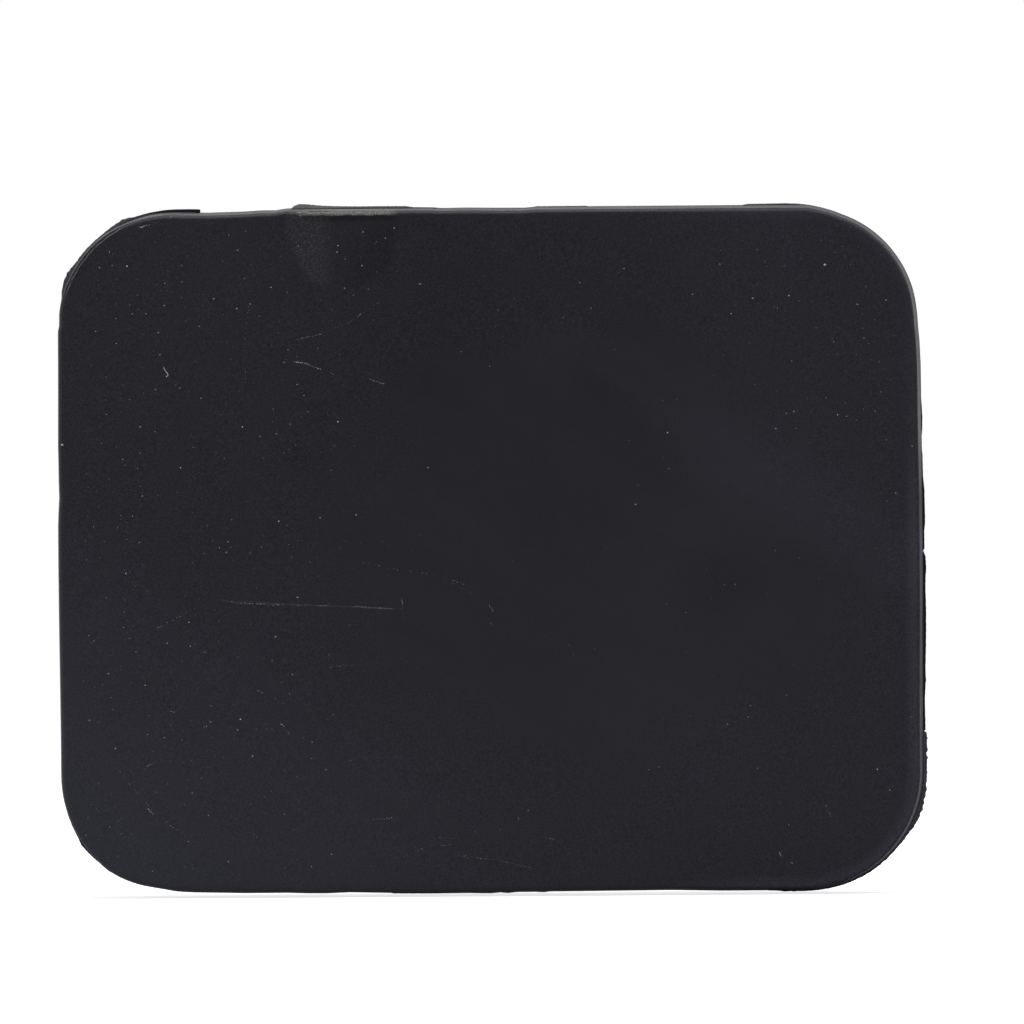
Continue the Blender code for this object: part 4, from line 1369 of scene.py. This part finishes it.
def gate_blush(tree, x, z, flat, mottle, crumbs):
    """The dull patch under the gate: how pale its left part is, and how much darker its right part."""
    away = calc_vector(tree, "DISTANCE", flat, (BLUSH[0], 0.0, BLUSH[1]))
    ragged = plus(tree, away, swing(tree, mottle, -0.3, 0.3))
    blush = ranged(tree, ragged, BLUSH_RADIUS + 0.3, BLUSH_RADIUS - 0.2)
    pale_side = ranged(tree, x, BLUSH[0] - 0.7, BLUSH[0] - 2.0)
    speckle = ranged(tree, crumbs, 0.50, 0.66)
    pale = times(tree, blush, pale_side, plus(tree, 0.03, times(tree, speckle, 0.26)))
    dim_side = ranged(tree, minus(tree, x, times(tree, z, 0.5)), *BLUSH_DIM_SIDE)
    return pale, times(tree, blush, dim_side, 0.26)


def plastic_material(colours):
    """Satin black plastic: grain, uneven tone, haze, a dull patch and a sheared edge at the gate, with
    painted light and shade on the face and along its edges.
    """
    material, tree, shader = new_material("black_plastic")
    place = millimetres(tree)
    x, y, z = split(tree, place)
    wobble = put(tree, "ShaderNodeTexNoise", {"Vector": place, "Scale": 1.6, "Detail": 2.0}).outputs["Color"]
    shift = stretched(tree, calc_vector(tree, "SUBTRACT", wobble, (0.5, 0.5, 0.5)), 0.2)
    flat = calc_vector(tree, "MULTIPLY", calc_vector(tree, "ADD", place, shift), (1.0, 0.0, 1.0))
    group = bpy.data.node_groups["Inset"]
    inset = put(tree, "ShaderNodeGroup", {"Place": flat}, node_tree=group).outputs["Inset"]
    on_face = ranged(tree, y, -DEPTH / MM + 1.6, -DEPTH / MM + 1.2)
    outside = calc(tree, "MAXIMUM", on_face, ranged(tree, inset, 1.3, 1.1))

    grain = noise(tree, place, 0.15, 2.0, 0.65)
    crumbs = noise(tree, place, 0.12, 1.0, 0.5, 31.0)
    mottle = noise(tree, place, 2.6, 3.0, 0.55, 11.0)
    # painted highlight and shade lines along the upper left edge
    lines = times(tree, painted_edge_lines(tree, place, flat, inset), outside)
    pale, dimmed = gate_blush(tree, x, z, flat, mottle, crumbs)
    side = worn_side(tree, x, z)
    # scuffed edge painted paler as a soft sheen
    scuff_and_sheen = times(tree, side, ranged(tree, inset, *SCUFF_AND_SHEEN_REACH, 0.0, SCUFF_AND_SHEEN_LIFT))
    worn = times(tree, side, ranged(tree, inset, *WORN_SKIRT))

    # painted light: a cool cast over the lower left corner
    cool_light_share = ranged(tree, minus(tree, times(tree, x, -0.6), z), 22.0, 46.0)
    tint = calc_vector(tree, "MULTIPLY", tuple(colours.plastic), COOL_LIGHT_TINT)
    cast = blend(tree, cool_light_share, (*colours.plastic, 1.0), tint)
    dark = stretched_colour(tree, cast, face_tone_and_painted_light(tree, flat, grain))
    dark = stretched_colour(tree, dark, plus(tree, minus(tree, 1.0, dimmed), scuff_and_sheen))
    # painted shade bands and pale whitening along the sheared edge
    bands, strength = sheared_edge_and_shade(tree, flat, crumbs)
    colour = blend(tree, times(tree, strength, outside), dark, bands)
    # pale scratch haze, with the painted highlight lines of the upper left edge
    haze_and_highlights = times(tree, marks(tree, flat, "haze"), ranged(tree, crumbs, 0.40, 0.58, 0.15, 1.0))
    haze_and_highlights = calc(tree, "MAXIMUM", haze_and_highlights, times(tree, lines, 0.9))
    haze = times(tree, calc(tree, "MAXIMUM", haze_and_highlights, pale), outside)
    colour = blend(tree, haze, colour, (*colours.haze, 1.0))
    # dark cracks by the gate, with painted shade: the line left of the gate and the dark lines of the upper
    # left edge
    black = times(tree, marks(tree, flat, "black"), ranged(tree, crumbs, 0.36, 0.50, 0.4, 1.0))
    black = times(tree, calc(tree, "MAXIMUM", black, times(tree, lines, -0.9)), outside)
    colour = blend(tree, black, colour, (*colours.flash, 1.0))

    matt = plus(tree, swing(tree, mottle, 0.44, 0.52), times(tree, haze, 0.35))
    matt = plus(tree, matt, swing(tree, grain, -0.03, 0.03))
    height = plus(tree, grain, times(tree, mottle, 1.2))
    height = minus(tree, height, times(tree, calc(tree, "MAXIMUM", haze_and_highlights, black), 0.8))
    coat(tree, shader, colour, matt, height, 0.6, 0.007)
    dull = calc(tree, "MAXIMUM", black, worn)
    join(tree, ranged(tree, dull, 0.0, 1.0, PLASTIC_GLOSS, DULL_GLOSS), shader.inputs["Specular IOR Level"])
    join(tree, ranged(tree, worn, 0.0, WORN_SHARES[1], PLASTIC_IOR, WORN_IOR), shader.inputs["IOR"])
    return material


def stretched_colour(tree, colour, share):
    """A colour made lighter or darker by a share."""
    return stretched(tree, colour if isinstance(colour, bpy.types.NodeSocket) else colour[:3], share)


def flash_material(colours):
    """Thin glossy flash that turns dull, grey and streaked with its tone, and is dark at its outer edge. Its
    black is painted shade, its grey painted light, and the dark edge a painted shade line.
    """
    material, tree, shader = new_material("plastic_flash")
    place = millimetres(tree)
    tone = put(tree, "ShaderNodeAttribute", attribute_name="tone").outputs["Fac"]
    outward = put(tree, "ShaderNodeAttribute", attribute_name="outward").outputs["Fac"]
    dullness = ranged(tree, tone, 0.0, MM)
    crumbs = noise(tree, place, 0.16, 3.0, 0.65)
    streaks = noise(tree, place, 0.9, 2.0, 0.5, 9.0)
    wave = calc(tree, "SINE", plus(tree, times(tree, outward, 17.0), times(tree, streaks, 4.0)))
    # painted light: the grey flash is painted lighter than the plastic, as if lit
    painted_light = calc(tree, "MAXIMUM", plus(tree, swing(tree, crumbs, 1.6, 4.8), times(tree, wave, 1.2)), 0.3)
    # painted shade line along the flash's outer edge
    painted_light = times(tree, painted_light, ranged(tree, outward, 0.90, 0.98, 1.0, 0.1))
    grey = stretched_colour(tree, (*colours.plastic, 1.0), painted_light)
    # painted shade: the glossy flash is painted darker than the plastic
    black = stretched_colour(tree, (*colours.flash, 1.0), swing(tree, streaks, 0.7, 1.6))
    matt = ranged(tree, dullness, 0.0, 1.0, 0.25, 0.62)
    coat(tree, shader, blend(tree, dullness, black, grey), matt, crumbs, 0.7, 0.02, gloss=0.18)
    return material


def gate_material(colours):
    """Torn plastic of the gate: rough, with pale stretched spots and dark cracks."""
    material, tree, shader = new_material("torn_plastic")
    place = millimetres(tree)
    torn = ranged(tree, split(tree, place)["X"], *GATE_TORN)
    crumbs = noise(tree, place, 0.13, 3.0, 0.65)
    cracks = noise(tree, place, 0.45, 2.0, 0.5, 3.0)
    crack = ranged(tree, calc(tree, "ABSOLUTE", minus(tree, cracks, 0.5)), 0.03, 0.0)
    crack = times(tree, crack, ranged(tree, torn, 0.0, 1.0, 0.35, 1.0))
    pale = times(tree, ranged(tree, crumbs, 0.52, 0.70), ranged(tree, torn, 0.0, 1.0, 0.10, 0.45))
    body = blend(tree, torn, (*colours.plastic, 1.0), GATE_COLOUR)
    colour = blend(tree, pale, body, (*colours.haze, 1.0))
    colour = blend(tree, crack, colour, (*colours.flash, 1.0))
    coat(tree, shader, colour, swing(tree, crumbs, 0.5, 0.75), crumbs, 0.9, 0.05, gloss=0.22)
    return material


def dust_material(colours):
    """Pale dust whose tone differs from speck to speck."""
    material, tree, shader = new_material("dust")
    place = millimetres(tree)
    speck = ranged(tree, noise(tree, place, 0.9, 1.0, 0.5), 0.42, 0.66)
    grain = noise(tree, place, 0.03)
    colour = blend(tree, speck, DARK_DUST, (*colours.dust, 1.0))
    coat(tree, shader, colour, swing(tree, grain, 0.8, 0.95), grain, 0.6, 0.005, gloss=0.2)
    return material


def fibre_material(colours):
    """A pale textile fibre with faint cross bands."""
    material, tree, shader = new_material("lint")
    bands = noise(tree, millimetres(tree), 0.06, 1.0, 0.5)
    soft = stretched_colour(tree, (*colours.dust, 1.0), swing(tree, bands, 0.45, 0.9))
    coat(tree, shader, soft, swing(tree, bands, 0.7, 0.9), bands, 0.5, 0.005)
    return material


def seen_or_mirrored(tree, behind):
    """1 for rays from the camera, and behind the cover also for those that a glossy surface sends on."""
    path = put(tree, "ShaderNodeLightPath").outputs
    mirrored = calc(tree, "MAXIMUM", path["Is Glossy Ray"], path["Is Transmission Ray"])
    return calc(tree, "MAXIMUM", path["Is Camera Ray"], times(tree, mirrored, behind))


def floor_material(colours):
    """Pale floor: it takes the object's shadow, and its own faint light makes it white to the camera."""
    material, tree, shader = new_material("floor")
    place = put(tree, "ShaderNodeTexCoord").outputs["Object"]
    cloud = put(tree, "ShaderNodeTexNoise", {"Vector": place, "Scale": 3.0}).outputs["Fac"]
    pale = stretched_colour(tree, (*colours.floor, 1.0), swing(tree, cloud, 0.98, 1.02))
    join(tree, pale, shader.inputs["Base Color"])
    shader.inputs["Roughness"].default_value = 0.9
    shader.inputs["Specular IOR Level"].default_value = 0.0
    shader.inputs["Emission Color"].default_value = (1.0, 1.0, 1.0, 1.0)
    behind = ranged(tree, split(tree, place)["Y"], *FLOOR_BEHIND, curve="SMOOTHSTEP")
    glow = times(tree, seen_or_mirrored(tree, behind), FLOOR_GLOW)
    join(tree, glow, shader.inputs["Emission Strength"])
    return material


class COVER_OT_moulding(bpy.types.Operator):
    """Lofts the shell, stands the fence, ribs and clips on it and bends it to the bumper"""

    bl_idname = "towing_cover.moulding"
    bl_label = "Moulding"

    def execute(self, context):
        sizes = context.scene.cover_sizes
        material = plastic_material(context.scene.cover_colours)
        falls = hollows(sizes)
        cover = settle(loft(draw("cover_moulding", shell_section(sizes)), sizes, material, hollows=falls))
        bpy.data.objects.remove(falls)
        band = combine(fence(sizes, material), [tongue_gaps(sizes)], "DIFFERENCE")
        standing = [band, *ribs(sizes, material), hooks(sizes), gussets(sizes), tongues(sizes)]
        combine(cover, standing, "UNION")
        combine(cover, [pin_marks(sizes)], "DIFFERENCE")
        drive(cover, bpy.data.node_groups["Crown"], radius_across=sizes.crown_across,
              radius_up=sizes.crown_up, material=material)
        smooth(settle(cover))
        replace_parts(belong(cover), NODE)
        return {"FINISHED"}


class COVER_OT_flash(bpy.types.Operator):
    """Grows the thin fins of flash along the parting line"""

    bl_idname = "towing_cover.flash"
    bl_label = "Flash"

    def execute(self, context):
        sizes = context.scene.cover_sizes
        material = flash_material(context.scene.cover_colours)
        chains = growth_chains("flash", FLASH, sizes)
        belong(grow(chains, sizes, material))
        return {"FINISHED"}


class COVER_OT_gate(bpy.types.Operator):
    """Grows the cut stub of the gate with its torn lump on the upper edge"""

    bl_idname = "towing_cover.gate"
    bl_label = "Gate"

    def execute(self, context):
        sizes = context.scene.cover_sizes
        material = gate_material(context.scene.cover_colours)
        chains = growth_chains("gate_stub", GATE, sizes)
        belong(grow(chains, sizes, material, step=GATE_STEP, thickness=GATE_THICKNESS, root=GATE_ROOT,
                    raggedness=GATE_RAGGED, grain=GATE_GRAIN, profile_points=GATE_SIDES))
        return {"FINISHED"}


class COVER_OT_dust(bpy.types.Operator):
    """Scatters specks of dust over the face"""

    bl_idname = "towing_cover.dust"
    bl_label = "Dust"

    def execute(self, context):
        sizes = context.scene.cover_sizes
        material = dust_material(context.scene.cover_colours)
        chance = random.Random(SEED)
        crumbs = [crumb for line in CRUMB_LINES for crumb in crumb_line(*line, chance)]
        drawn = draw("dust_specks", [(x * MM, radius * MM, z * MM) for x, z, radius in (*SPECKS, *crumbs)])
        drive(drawn, bpy.data.node_groups["Dust"], width=sizes.width * SPECK_MARGIN,
              height=sizes.height * SPECK_MARGIN, depth=sizes.depth, radius_across=sizes.crown_across,
              radius_up=sizes.crown_up, density=sizes.speck_density, material=material)
        belong(settle(drawn))
        return {"FINISHED"}


class COVER_OT_fibre(bpy.types.Operator):
    """Lays a short lint fibre on the face"""

    bl_idname = "towing_cover.fibre"
    bl_label = "Fibre"

    def execute(self, context):
        sizes = context.scene.cover_sizes
        curve = bpy.data.curves.new("lint_fibre", "CURVE")
        curve.dimensions = "3D"
        curve.bevel_depth = FIBRE_RADIUS
        curve.bevel_resolution = 2
        curve.use_fill_caps = True
        spline = curve.splines.new("NURBS")
        spline.points.add(len(FIBRE) - 1)
        spline.order_u = 3
        spline.use_endpoint_u = True
        for point, (x, z) in zip(spline.points, FIBRE):
            x, z = x * MM, z * MM
            fall = x * x / (2 * sizes.crown_across) + z * z / (2 * sizes.crown_up)
            point.co = (x, fall - sizes.depth - FIBRE_RADIUS / 2, z, 1.0)
        thread = bpy.data.objects.new("lint_curve", curve)
        context.scene.collection.objects.link(thread)
        depsgraph = context.evaluated_depsgraph_get()
        mesh = bpy.data.meshes.new_from_object(thread.evaluated_get(depsgraph), depsgraph=depsgraph)
        bpy.data.objects.remove(thread)
        fibre = bpy.data.objects.new("lint_fibre", mesh)
        context.scene.collection.objects.link(fibre)
        mesh.materials.append(fibre_material(context.scene.cover_colours))
        belong(smooth(settle(fibre)))
        return {"FINISHED"}


def lamp(name, place, target, size, strength):
    """A square lamp that looks at a target, and that the camera doesn't see."""
    data = bpy.data.lights.new(name, "AREA")
    data.shape = "SQUARE"
    data.size = size
    data.energy = strength * math.pi * size * size
    made = bpy.data.objects.new(name, data)
    made.location = place
    made.rotation_mode = "QUATERNION"
    made.rotation_quaternion = (Vector(target) - Vector(place)).to_track_quat("-Z", "Y")
    made.visible_camera = False
    bpy.context.scene.collection.objects.link(made)


def room():
    """A dim room, white to the camera all round, and white behind the cover to what the plastic mirrors."""
    world = bpy.data.worlds.new("room")
    world.use_nodes = True
    bpy.context.scene.world = world
    tree = world.node_tree
    toward = split(tree, put(tree, "ShaderNodeTexCoord").outputs["Generated"])["Y"]
    behind = ranged(tree, toward, *ROOM_BEHIND, curve="SMOOTHSTEP")
    level = ranged(tree, seen_or_mirrored(tree, behind), 0.0, 1.0, ROOM_LEVEL, 1.0)
    join(tree, level, tree.nodes["Background"].inputs["Strength"])
    tree.nodes["Background"].inputs["Color"].default_value = (1.0, 1.0, 1.0, 1.0)


def camera():
    """The camera, almost straight in front of the cover, which lies a little low in the picture."""
    lens = bpy.data.cameras.new("camera")
    lens.sensor_width = SENSOR
    lens.lens = SENSOR * CAMERA_DISTANCE / (PICTURE / PIXELS_PER_MM * MM)
    lens.clip_start, lens.clip_end = CAMERA_CLIP
    azimuth, elevation = math.radians(CAMERA_AZIMUTH), math.radians(CAMERA_ELEVATION)
    back = Vector((math.sin(azimuth) * math.cos(elevation), -math.cos(azimuth) * math.cos(elevation),
                   math.sin(elevation)))
    turn = (-back).to_track_quat("-Z", "Y") @ Quaternion((0.0, 0.0, 1.0), math.radians(CAMERA_ROLL))
    across = (PICTURE / 2 - AIM_PIXEL[0]) / PIXELS_PER_MM * MM
    up = (AIM_PIXEL[1] - PICTURE / 2) / PIXELS_PER_MM * MM
    made = bpy.data.objects.new("camera", lens)
    made.rotation_mode = "QUATERNION"
    made.rotation_quaternion = turn
    made.location = turn @ Vector((across, up, 0.0)) + back * CAMERA_DISTANCE
    bpy.context.scene.collection.objects.link(made)
    bpy.context.scene.camera = made


class COVER_OT_stage(bpy.types.Operator):
    """Sets the pale floor, the soft lamps, the room and the camera"""

    bl_idname = "towing_cover.stage"
    bl_label = "Stage"

    def execute(self, context):
        lowest = CAD_BOX[0].z
        corners = [(x * FLOOR_HALF, y * FLOOR_HALF, lowest) for x, y in ((-1, -1), (1, -1), (1, 1), (-1, 1))]
        floor = draw("floor", corners, faces=[(0, 1, 2, 3)])
        floor.data.materials.append(floor_material(context.scene.cover_colours))
        for settings in LAMPS:
            lamp(*settings)
        room()
        camera()
        context.scene.view_settings.view_transform = "Standard"
        return {"FINISHED"}


TREES = (rim_outline_tree, outline_loft_tree, rib_row_tree, clip_row_tree, crown_tree, rim_growth_tree,
         dust_tree, stroke_group, inset_group)
STEPS = (COVER_OT_moulding, COVER_OT_flash, COVER_OT_gate, COVER_OT_dust, COVER_OT_fibre, COVER_OT_stage)


class VIEW3D_PT_towing_cover(bpy.types.Panel):
    """Sidebar panel with the sizes, the colours and the steps."""

    bl_label = "Towing Eye Cover"
    bl_space_type = "VIEW_3D"
    bl_region_type = "UI"
    bl_category = "Cover"

    def draw(self, context):
        layout = self.layout
        for group in (context.scene.cover_sizes, context.scene.cover_colours):
            for name in group.bl_rna.properties.keys():
                if name not in ("rna_type", "name"):
                    layout.prop(group, name)
        for step in STEPS:
            layout.operator(step.bl_idname)


CLASSES = (CoverSizes, CoverColours, *STEPS, VIEW3D_PT_towing_cover)


def register():
    for item in CLASSES:
        bpy.utils.register_class(item)
    bpy.types.Scene.cover_sizes = bpy.props.PointerProperty(type=CoverSizes)
    bpy.types.Scene.cover_colours = bpy.props.PointerProperty(type=CoverColours)


def unregister():
    del bpy.types.Scene.cover_colours
    del bpy.types.Scene.cover_sizes
    for item in reversed(CLASSES):
        bpy.utils.unregister_class(item)


def main():
    register()
    for make in TREES:
        make()
    for step in STEPS:
        group, name = step.bl_idname.split(".")
        getattr(getattr(bpy.ops, group), name)()


if __name__ == "__main__":
    main()
